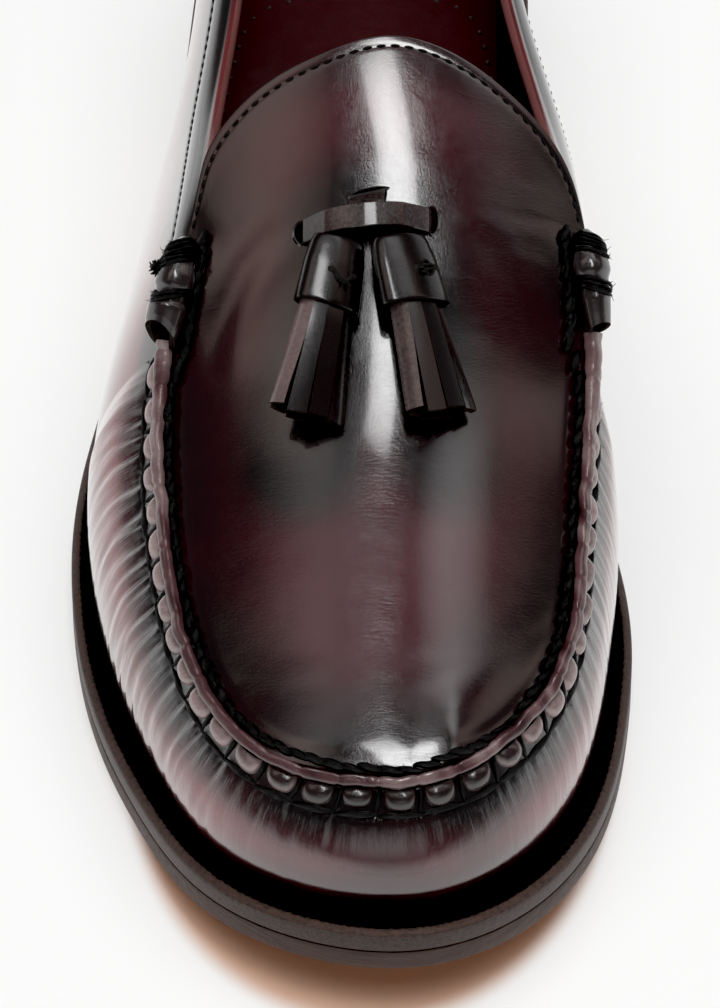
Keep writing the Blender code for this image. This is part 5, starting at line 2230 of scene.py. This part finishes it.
@dataclass
class Tassels:
    """Two tassels lying on the instep, each a wrapped sleeve over cut strips."""

    ground: Ground
    length: float = 34.4
    sleeve_share: float = 0.385
    hide: float = 1.05
    strip_thick: float = 1.25
    gap: float = 0.3
    around: int = 56
    seed: int = 41

    def build(self) -> None:
        """Build both tassels."""
        for row in TASSELS:
            place, name = self.placing(row), row.side.value
            hides, node = (TRIM_HIDE, DARK_RAW), (f"tassel_{name}",)
            self.put(f"tassel_sleeve_{name}", self.sleeve_mesh(row.full), place, hides, node)
            self.put(f"tassel_fringe_{name}", self.fringe_mesh(row.side), place, hides, node)
            self.put(f"tassel_knot_{name}", self.knot_mesh(row), place, (KNOTTED,), ())

    def put(self, name: str, bm: Mesh, place: Matrix, finishes: Sequence[Finish],
            nodes: tuple[str, ...]) -> None:
        """Lay a mesh made in the tassel's own frame on the shoe."""
        bmesh.ops.transform(bm, matrix=place, verts=bm.verts[:])
        Piece(name, bm, finishes, Slot.TRIM, nodes).place()

    def placing(self, row: TasselRow) -> Matrix:
        """Frame of a tassel: X across, Y off the instep, Z from the top to the foot.

        Args:
            row: Seat of the tassel.

        Returns:
            Matrix from that frame to the shoe.
        """
        top, top_out = self.ground.seat(*row.top)
        foot, foot_out = self.ground.seat(*row.foot)
        out = Vector(top_out + foot_out).normalized()
        high = Vector(top) + out * (3.9 + self.gap + row.lift)
        low = Vector(foot) + out * (3.4 + self.gap + row.lift)
        ahead = (low - high).normalized()
        out = out + out.cross(ahead) * math.tan(row.roll)
        across = out.cross(ahead).normalized()
        turn = Matrix((across, ahead.cross(across), ahead)).transposed()
        return Matrix.Translation(high * MM) @ turn.to_4x4()

    def sleeve_mesh(self, full: float) -> Mesh:
        """Wrapped sleeve of a given fullness, open at both ends, with the thickness of the hide.

        Args:
            full: Fullness.

        Returns:
            Closed mesh; the flesh side takes the second finish.
        """
        foot = self.sleeve_share * self.length
        outside = np.concatenate([[0.0, 0.25, 0.7], np.linspace(1.4, foot - 0.6, 14), [foot - 0.2, foot]])
        inside = np.linspace(foot, 0.0, 8)
        z = np.concatenate([outside, inside, outside[:1]])
        wide, deep = read_rows(SLEEVE_RINGS, z / self.length)
        wide = wide * full
        cut = np.concatenate([[0.14, 0.03, 0.0], np.zeros(14), [0.0, 0.08], np.full(8, self.hide), [0.14]])
        angle = np.linspace(0.0, TURN, self.around + 1)
        flat = 0.03 * np.cos(2.0 * angle) - 0.02 * np.cos(6.0 * angle)
        slant = 0.28 * np.cos(angle) * ease(4.0, foot, z)[:, None]
        points = np.stack([np.cos(angle) * (wide - cut)[:, None] * (1.0 + flat),
                           np.sin(angle) * (deep - cut)[:, None] * (1.0 + flat),
                           np.repeat(z[:, None], len(angle), axis=1) + slant], axis=2)
        bm = bmesh.new()
        faces = lay_grid(bm, points, rub=np.full(points.shape[:2], 0.22))
        second_finish(faces, lambda i: i // self.around >= len(outside) - 1)
        weld(bm)
        return bm

    def fringe_mesh(self, side: Side) -> Mesh:
        """Cut strips in two layers, the inner one smaller and shorter.

        Args:
            side: Side of the foot.

        Returns:
            Mesh of the strips; their cut sides take the second finish.
        """
        bm = bmesh.new()
        fade = 1.0 if side is Side.LATERAL else 0.72
        for layer, (scale, drop) in enumerate(((1.0, 0.0), (0.62, 0.8))):
            for row in STRIPS:
                self.add_strip(bm, row, math.radians(row.middle + 19.0 * layer), scale, drop, fade)
        return bm

    def add_strip(self, bm: Mesh, row: StripRow, centre: float, scale: float, drop: float,
                  fade: float) -> None:
        """One strip of the fringe.

        Args:
            bm: Mesh that gets the strip.
            row: How it hangs.
            centre: Its angle round the tassel.
            scale: Size of the layer that it lies in.
            drop: How much shorter the layer is.
            fade: How much of its paleness it keeps.
        """
        share = np.linspace(0.29, 1.0 + (row.longer - drop) / self.length, 15)
        wide, deep = read_rows(FRINGE_RINGS, share)
        late = ease(0.45, 1.0, share)
        cut = np.linspace(-0.5, 0.5, 6)
        slack = 0.99 - 0.05 * late
        angle = centre + cut[None] * math.radians(row.span) * slack[:, None]
        first, last = angle[:, :1], angle[:, -1:]
        blend = cut[None] + 0.5
        flat = 0.55
        x = np.cos(angle) * (1.0 - flat) + (np.cos(first) * (1.0 - blend) + np.cos(last) * blend) * flat
        y = np.sin(angle) * (1.0 - flat) + (np.sin(first) * (1.0 - blend) + np.sin(last) * blend) * flat
        swell = scale * (1.0 + row.splay * late)
        roll = 1.0 + row.twist * cut[None] * late[:, None]
        x = x * (wide * swell)[:, None] * roll
        x = x + (row.sway * late * math.cos(centre))[:, None]
        y = y * (deep * swell)[:, None] * roll
        z = np.repeat((share * self.length)[:, None], len(cut), axis=1) + 0.25 * cut[None] * row.twist * 8.0
        points = np.stack([x, y, z], axis=2)
        part = bmesh.new()
        lay_grid(part, points, rub=np.full(points.shape[:2], row.tone * fade))
        part.normal_update()
        middle = points[7, 3] * MM
        if sum(face.normal.x * middle[0] + face.normal.y * middle[1] for face in part.faces) < 0.0:
            bmesh.ops.reverse_faces(part, faces=part.faces[:])
        outside = set(part.faces[:])
        bmesh.ops.solidify(part, geom=part.faces[:], thickness=self.strip_thick * scale * MM)
        for face in part.faces:
            face.material_index = int(face not in outside)
        mesh = bpy.data.meshes.new("strip")
        part.to_mesh(mesh)
        part.free()
        bm.from_mesh(mesh)
        bpy.data.meshes.remove(mesh)

    def knot_mesh(self, row: TasselRow) -> Mesh:
        """Twisted stitch that closes the sleeve, with its two holes and a short end.

        Args:
            row: Seat of the tassel.

        Returns:
            Mesh in the tassel's own frame.
        """
        lateral = row.side is Side.LATERAL
        mirror = 1.0 if lateral else -1.0
        sag = 1.5 if lateral else 0.5
        dice = np.random.default_rng(self.seed if lateral else self.seed + 1)
        bm = bmesh.new()
        share = np.linspace(0.0, 1.0, 40)
        for strand in range(4):
            twist = share * 11.0 + strand * TURN / 4.0
            x = row.knot + (-1.9 + 4.2 * share + 0.22 * np.cos(twist)) * mirror
            z = 7.0 + sag * np.sin(math.pi * share) + 0.3 * share + 0.36 * np.sin(twist)
            if not lateral:
                z = 7.2 + 0.85 * (strand - 1.5) * np.sin(math.pi * share) ** 0.7 + 0.12 * np.sin(twist)
            ends = ease(0.0, 0.12, share) * (1.0 - ease(0.88, 1.0, share))
            path = self.on_sleeve(x, z, -0.5 + (0.34 * np.cos(twist) + 0.62) * ends, row.full)
            size = np.full(len(share), 0.27)
            add_tube(bm, path_frame(path, np.array([0.0, 1.0, 0.0])), size, size, 7)
        for x, z in ((-2.0, 6.9), (2.4, 7.2)):
            made = bmesh.ops.create_uvsphere(bm, u_segments=12, v_segments=8, radius=1.0)["verts"]
            x = np.array([row.knot + x * mirror])
            hole = self.on_sleeve(x, np.array([z]), np.array([-0.10]), row.full)[0]
            reshape(made, lambda place: hole + place * np.array([0.80, 0.32, 0.68]))
        for _ in range(12 if lateral else 4):
            x = np.array([row.knot + dice.uniform(-0.6, 1.6) * mirror])
            root = self.on_sleeve(x, np.array([7.2 + sag]), np.array([0.4]), row.full)[0]
            way = np.array([dice.uniform(-0.5, 0.5), 0.3, 0.9])
            add_hair(bm, root, way, dice.uniform(0.8, 2.0), 0.14, dice)
        close_tubes(bm)
        return bm

    def on_sleeve(self, x: Array, z: Array, lift: Array, full: float) -> Array:
        """Places a little above the sleeve's upper face.

        Args:
            x: Places across.
            z: Places from the top to the foot.
            lift: Height above the hide.
            full: Fullness of the sleeve.

        Returns:
            Points in the tassel's own frame.
        """
        wide, deep = read_rows(SLEEVE_RINGS, z / self.length)
        y = deep * np.sqrt(np.clip(1.0 - (x / (wide * full)) ** 2, 0.0, 1.0))
        return np.column_stack([x, y + lift, z])


# ---------------------------------------------------------------- sewing

@dataclass
class Sewing:
    """Lock-stitch rows along the tongue and the collar, and the pale row on the sock."""

    last: Last
    upper: Upper
    ground: Ground
    pitch: float = 2.55
    half: float = 1.0
    thick: float = 0.34
    sock_pitch: float = 4.4

    def build(self) -> None:
        """Build the three rows."""
        Piece("tongue_stitches", self.tongue_row(), (SEWING,), Slot.TRIM).place()
        Piece("collar_stitches", self.collar_row(), (SEWING,), Slot.TRIM).place()
        Piece("sock_stitches", self.sock_row(), (PALE_SEWING,), Slot.SOCK).place()

    def sew(self, line: Array, out: Array, pitch: float, half: float, thick: float) -> Mesh:
        """Row of stitches along a line.

        Args:
            line: Points of the stitch line.
            out: Directions out of the leather at those points.
            pitch: Length of a stitch with its gap.
            half: Half length of the thread that shows.
            thick: Half thickness of the thread.

        Returns:
            Mesh of the row.
        """
        gone = walked(line)
        count = int(gone[-1] / pitch)
        bm = bmesh.new()
        for place in (np.arange(count) + 0.5) * gone[-1] / count:
            ahead = unit(read_line(place + 0.5, gone, line) - read_line(place - 0.5, gone, line))
            up = read_line(place, gone, out)
            up = unit(up - ahead * np.dot(up, ahead))
            add_stitch(bm, read_line(place, gone, line), ahead, up, half, thick)
        return bm

    def tongue_row(self) -> Mesh:
        """Stitches inside the tongue's folded edge.

        Returns:
            Mesh of the row.
        """
        turns = np.linspace(-0.955, 0.955, 241)
        edge = self.last.tongue(turns, 1.0)
        inside = self.last.tongue(turns, 0.9)
        spots = [self.ground.near(place) for place in edge + unit(inside - edge) * self.upper.fold_width]
        line = np.array([spot[0] for spot in spots])
        out = np.array([spot[1] for spot in spots])
        return self.sew(line + out * 0.12, out, self.pitch, self.half, self.thick)

    def collar_row(self) -> Mesh:
        """Stitches below the collar, from notch to notch round the heel.

        Returns:
            Mesh of the row.
        """
        start = 2.0 * self.last.toe - self.last.notch + 5.0
        at = np.linspace(start, 2.0 * self.last.toe + self.last.notch - 5.0, 401)
        top = self.last.seam(at)
        down = unit(self.last.wall(at, 0.9) - top)
        line = top + down * self.upper.collar_stitch
        ahead = unit(np.gradient(line, axis=0))
        out = facing(unit(np.cross(ahead, down)), self.last.outward(at))
        return self.sew(line - out * 0.10, out, self.pitch, self.half, self.thick)

    def sock_row(self) -> Mesh:
        """Pale stitches round the sock pad.

        Returns:
            Mesh of the row.
        """
        pad = [(-26.5, 36.0), (-26.6, 54.0), (-24.0, 72.0), (-17.5, 88.0), (3.5, 91.5), (23.0, 88.0),
               (28.5, 72.0), (31.0, 54.0), (32.0, 36.0)]
        plan = Curve(range(len(pad)), pad).read(np.linspace(0.0, len(pad) - 1.0, 201))
        line = self.last.raised(plan, self.last.outsole + self.last.gap + self.last.insole + 0.75)
        out = np.repeat(np.array([[0.0, 0.0, 1.0]]), len(line), axis=0)
        return self.sew(line, out, self.sock_pitch, 0.60, 0.42)


# ---------------------------------------------------------------- sole and heel

@dataclass
class Sole:
    """Outsole, welt, heel and sock."""

    last: Last
    stations: int = 180
    across: int = 14
    notch_pitch: float = 1.75
    notch_columns: int = 4
    notch_depth: float = 0.42
    lifts: int = 3
    breast_hollow: float = 2.5
    seed: int = 53

    def build(self) -> None:
        """Build the pieces from the ground up."""
        Piece("heel_rubber_piece", self.top_piece(), (RUBBER,), Slot.RUBBER, ("heel_top_piece",)).place()
        Piece("heel_lifts", self.heel_mesh(), (LIFT_STAIN,), Slot.HEEL, ("heel_stack",)).place()
        Piece("outsole_plate", self.outsole_mesh(), (EDGE_STAIN, TREAD_TAN), Slot.SOLE, ("outsole",)).place()
        Piece("welt_strip", self.welt_mesh(), (WELT_STAIN,), Slot.WELT, ("welt",)).place()
        Piece("sock_leather", self.sock_mesh(), (SOCK_HIDE,), Slot.SOCK, ("insole",)).place()

    def spaced(self, end: float) -> Array:
        """Stations from the heel back, closer at both ends."""
        return end * 0.5 * (1.0 - np.cos(np.linspace(0.0, math.pi, self.stations + 1)))

    def rows(self, at: Array, inward: Array, height: Rule, hollow: float) -> Array:
        """Points across a plate at each station, lateral to medial.

        Args:
            at: Stations from the heel back.
            inward: Distance in from the outline at each station.
            height: Rule from plan places to heights.
            hollow: How far the last row bows towards the heel.

        Returns:
            Stations by points across.
        """
        lateral = self.last.outline(at, inward)[0]
        medial = self.last.outline(2.0 * self.last.toe - at, inward)[0]
        shares = np.linspace(0.0, 1.0, self.across + 1)
        plan = lateral[:, None] + (medial - lateral)[:, None] * shares[None, :, None]
        plan[-1, :, 1] += hollow * 4.0 * shares * (1.0 - shares)
        flat = plan.reshape(-1, 2)
        return np.column_stack([flat, height(flat)]).reshape(*plan.shape[:2], 3)

    def plate(self, at: Array, layers: Sequence[tuple[Array, Rule]], hollow: float = 0.0) -> Mesh:
        """Solid plate from layers, bottom to top.

        Args:
            at: Stations from the heel back.
            layers: Inward distance and height rule of each layer.
            hollow: How far the front face bows towards the heel.

        Returns:
            Closed mesh; faces that look down take the second finish.
        """
        stacks = [self.rows(at, inward, height, hollow) for inward, height in layers]
        rings = [np.concatenate([rows[:, 0], rows[-1, 1:-1], rows[::-1, -1]]) for rows in stacks]
        bm = bmesh.new()
        lay_grid(bm, np.array(rings))
        lay_grid(bm, stacks[0])
        lay_grid(bm, stacks[-1])
        weld(bm)
        return bm

    def over_tread(self, up: float) -> Rule:
        """Height rule: a distance above the outsole's underside."""
        return lambda plan: self.last.tread(plan[:, 1]) + up

    def outsole_mesh(self) -> Mesh:
        """Leather outsole with a rounded, slightly proud edge.

        Returns:
            Closed mesh; the tread takes the second finish.
        """
        at = self.spaced(self.last.toe)
        side = [(6.0, 0.0), (1.2, 0.0), (0.5, 0.12), (0.12, 0.5), (0.0, 1.1), (-0.05, 2.2), (0.0, 3.6),
                (0.04, 4.6), (0.14, 4.90), (0.45, 5.0), (6.0, 5.0)]
        bm = self.plate(at, [(np.full(at.shape, inward), self.over_tread(up)) for inward, up in side])
        for face in bm.faces:
            face.material_index = int(face.normal.z < -0.6)
        return bm

    def welt_mesh(self) -> Mesh:
        """Welt with a wheeled rim and faint grooves running in to the upper.

        Returns:
            Mesh of the welt.
        """
        last = self.last
        whole = np.linspace(0.0, 2.0 * last.toe, 2001)
        gone = walked(last.outline(whole)[0])
        count = round(gone[-1] / self.notch_pitch)
        run = np.linspace(0.0, gone[-1], count * self.notch_columns + 1)
        at = np.interp(run, gone, whole)
        tooth = np.abs((run / gone[-1] * count) % 1.0 - 0.5) * 2.0
        dice = np.random.default_rng(self.seed)
        bite = (1.0 - tooth) * np.repeat(dice.uniform(0.45, 1.0, count + 1), self.notch_columns)[:len(run)]
        base = last.outsole + last.gap
        inner = last.margin(at) + last.wall_thick
        section = [
            (0.40, 0.0, 0.0, 0.8), (0.14, 0.10, 0.0, 0.8), (0.05, 0.5, 0.0, 0.8), (0.06, 3.3, 0.0, 0.8),
            (0.16, 4.05, 0.0, 0.8), (0.40, 4.32, 0.0, 0.9), (1.00, 4.64, 0.0, 0.9), (1.55, 4.92, 0.12, 0.8),
            (1.85, 4.96, 1.0, 0.55), (2.10, 4.80, 1.0, 0.25), (2.40, 4.58, 0.7, 0.05), (3.0, 4.50, 0.30, 0.0),
            (4.6, 4.48, 0.15, 0.0)]
        rings, rims = [], []
        for inward, up, notch, rim in section:
            ring = last.raised(last.outline(at, np.minimum(inward, inner - 0.4))[0], base + up)
            ring[:, 2] -= self.notch_depth * notch * bite
            rings.append(ring)
            rims.append(np.clip(rim - 0.55 * bite * notch, 0.0, 1.0))
        for up in (4.48, 0.0):
            rings.append(last.raised(last.outline(at, inner)[0], base + up))
            rims.append(np.zeros(len(at)))
        rings.append(rings[0])
        rims.append(rims[0])
        bm = bmesh.new()
        lay_grid(bm, np.array(rings), rim=np.array(rims))
        weld(bm)
        return bm

    def sock_mesh(self) -> Mesh:
        """Insole covered by its sock, the edge rounded down.

        Returns:
            Mesh of the sock.
        """
        at = self.spaced(self.last.toe)
        base = self.last.outsole + self.last.gap
        foot = self.last.margin(at) + self.last.wall_thick + self.last.gap
        top = base + self.last.insole
        side = [(0.0, base), (0.0, top - 0.9), (0.25, top - 0.35), (0.8, top), (4.0, top + 0.25),
                (7.5, top + 0.55)]
        return self.plate(at, [(foot + inward, self.over_tread(up)) for inward, up in side])

    def heel_stations(self) -> Array:
        """Stations of the heel, from its back to the breast."""
        return self.last.breast_at * np.sin(np.linspace(0.0, math.pi / 2.0, 61))

    def heel_mesh(self) -> Mesh:
        """Stack of leather lifts with a fine groove at each joint.

        Returns:
            Mesh of the stack.
        """
        at = self.heel_stations()
        low = self.last.top_piece + self.last.gap
        layers = []
        for share in np.linspace(0.0, 1.0, self.lifts * 9 + 1):
            joint = abs((share * self.lifts + 0.5) % 1.0 - 0.5) / self.lifts
            groove = 0.32 * math.exp(-(joint * 15.0 / 0.35) ** 2)
            inward = 2.2 - 1.0 * share + groove

            def height(plan: Array, share: float = share) -> Array:
                """Height of this layer between the top piece and the outsole."""
                return low * (1.0 - share) + (self.last.tread(plan[:, 1]) - self.last.gap) * share

            layers.append((np.full(at.shape, inward), height))
        return self.plate(at, layers, self.breast_hollow)

    def top_piece(self) -> Mesh:
        """Rubber top piece with eased edges.

        Returns:
            Mesh of the top piece.
        """
        at = self.heel_stations()
        side = [(3.0, 0.0), (2.5, 0.12), (2.25, 0.6), (2.2, 2.5), (2.2, 4.6), (2.35, 5.0)]
        return self.plate(at, [(np.full(at.shape, inward), lambda plan, up=up: np.full(len(plan), up))
                               for inward, up in side], self.breast_hollow)


# ---------------------------------------------------------------- studio

class LightRow(NamedTuple):
    """Soft box: direction from the shoe, metres, radiance, edge softness, whether it mirrors, tint."""

    name: str
    towards: Place
    distance: float
    width: float
    height: float
    level: float
    soft: Pair = (0.6, 0.6)
    mirrored: bool = True
    tint: Colour = (1.0, 1.0, 1.0)


LIGHTS = [
    LightRow("key_box", (0.054, -0.13, 0.99), 1.30, 0.180, 0.66, 12.0, (0.30, 0.50)),
    LightRow("left_panel", (-0.44, -0.05, 0.90), 1.60, 0.80, 0.84, 0.82, (0.8, 0.6), True, (1.0, 0.80, 0.71)),
    LightRow("right_strip", (0.31, -0.05, 0.95), 1.60, 0.14, 0.70, 0.28, (0.7, 0.5)),
    LightRow("right_panel", (0.66, 0.10, 0.75), 1.70, 0.56, 1.10, 0.58, (0.8, 0.6), True, (1.0, 0.77, 0.69)),
    LightRow("back_panel", (-0.10, 0.26, 0.97), 1.60, 2.00, 0.58, 0.62, (2.0, 1.2)),
    LightRow("back_right_panel", (0.30, 0.26, 0.93), 1.58, 1.30, 0.52, 1.45, (2.0, 1.2)),
    LightRow("front_panel", (0.0, -0.86, 0.48), 1.80, 1.50, 0.85, 0.55, (0.6, 0.8)),
    LightRow("fill", (0.0, 0.0, 1.0), 2.20, 2.60, 2.60, 3.2, (0.2, 0.2), False),
]


@dataclass
class Studio:
    """Pale floor, soft boxes, bright surroundings and the camera of the photograph."""

    elevation: float = 47.0
    distance: float = 850.0
    target: Place = (2.0, -53.33, 30.0)
    aim: Place = (5.0, -60.0, 60.0)
    focal_pixels: float = 4525.8
    long_side: float = 1008.0
    sensor: float = 36.0
    floor_half: float = 6000.0
    black_point: float = 0.006

    def build_camera(self) -> None:
        """Camera at the photograph's angle."""
        data = bpy.data.cameras.new("camera")
        data.sensor_width = self.sensor
        data.lens = self.focal_pixels * self.sensor / self.long_side
        data.clip_start = 0.01
        data.clip_end = 50.0
        camera = bpy.data.objects.new("camera", data)
        bpy.context.scene.collection.objects.link(camera)
        tilt = math.radians(self.elevation)
        away = Vector((0.0, -math.cos(tilt), math.sin(tilt))) * self.distance
        camera.location = (Vector(self.target) + away) * MM
        camera.rotation_euler = (math.pi / 2.0 - tilt, 0.0, 0.0)
        bpy.context.scene.camera = camera

    def build_light(self) -> None:
        """Soft boxes aimed at the instep, surroundings bright low down and dark overhead."""
        aim = Vector(self.aim) * MM
        for row in LIGHTS:
            data = bpy.data.lights.new(row.name, "AREA")
            data.shape = "RECTANGLE"
            data.size, data.size_y = row.width, row.height
            data.color = row.tint
            data.energy = row.level * math.pi * row.width * row.height
            self.soften(data, row)
            lamp = bpy.data.objects.new(row.name, data)
            lamp.visible_glossy = row.mirrored
            bpy.context.scene.collection.objects.link(lamp)
            lamp.location = aim + Vector(row.towards).normalized() * row.distance
            lamp.rotation_euler = (lamp.location - aim).to_track_quat("Z", "Y").to_euler()
        world = bpy.data.worlds.new("surroundings")
        bpy.context.scene.world = world
        world.use_nodes = True
        nodes = Wiring(world.node_tree)
        way = nodes.add("ShaderNodeTexCoord").outputs["Generated"]
        height = nodes.add("ShaderNodeSeparateXYZ", Vector=way).outputs["Z"]
        stops = ((0.0, 0.95), (0.12, 0.72), (0.34, 0.06), (1.0, 0.006))
        backdrop = world.node_tree.nodes["Background"].inputs
        nodes.fill(backdrop["Color"], nodes.ramp(height, *((place, (level,) * 3) for place, level in stops)))
        nodes.fill(backdrop["Strength"], 1.0)
        view = bpy.context.scene.view_settings
        view.view_transform = "Standard"
        view.look = "None"
        view.exposure = 0.0
        view.use_curve_mapping = True
        view.curve_mapping.black_level = (self.black_point,) * 3
        view.curve_mapping.update()

    def soften(self, data: bpy.types.Light, row: LightRow) -> None:
        """Let a soft box fade towards its edges.

        Args:
            data: Light of the box.
            row: Its entry in the table.
        """
        data.use_nodes = True
        nodes = Wiring(data.node_tree)
        spot = nodes.add("ShaderNodeNewGeometry").outputs["Parametric"]
        split = nodes.add("ShaderNodeSeparateXYZ", Vector=spot)
        level = None
        for name, power in zip("XY", row.soft):
            share = split.outputs[name]
            arch = nodes.maths("MULTIPLY", share, nodes.maths("SUBTRACT", 1.0, share))
            fade = nodes.maths("POWER", nodes.maths("MULTIPLY", arch, 4.0), power)
            level = fade if level is None else nodes.maths("MULTIPLY", level, fade)
        nodes.fill(data.node_tree.nodes["Emission"].inputs["Strength"], level)

    def build_floor(self) -> None:
        """Floor that runs out of sight."""
        bm = bmesh.new()
        bmesh.ops.create_grid(bm, x_segments=12, y_segments=12, size=self.floor_half * MM)
        mesh = bpy.data.meshes.new("floor")
        bm.to_mesh(mesh)
        bm.free()
        mesh.materials.append(FLOOR.material())
        floor = bpy.data.objects.new("floor", mesh)
        bpy.context.scene.collection.objects.link(floor)


def main() -> None:
    """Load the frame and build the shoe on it."""
    logging.basicConfig(level=logging.INFO, format="%(name)s: %(message)s")
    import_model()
    studio = Studio()
    studio.build_camera()
    last = Last()
    seam = SeamLine(last, STITCH)
    upper = Upper(last, seam)
    ground = upper.build()
    MoccasinSeam(last, seam).build()
    Rolls(last, seam).build()
    Bow(ground).build()
    Tassels(ground).build()
    Sewing(last, upper, ground).build()
    Sole(last).build()
    studio.build_floor()
    studio.build_light()


if __name__ == "__main__":
    main()
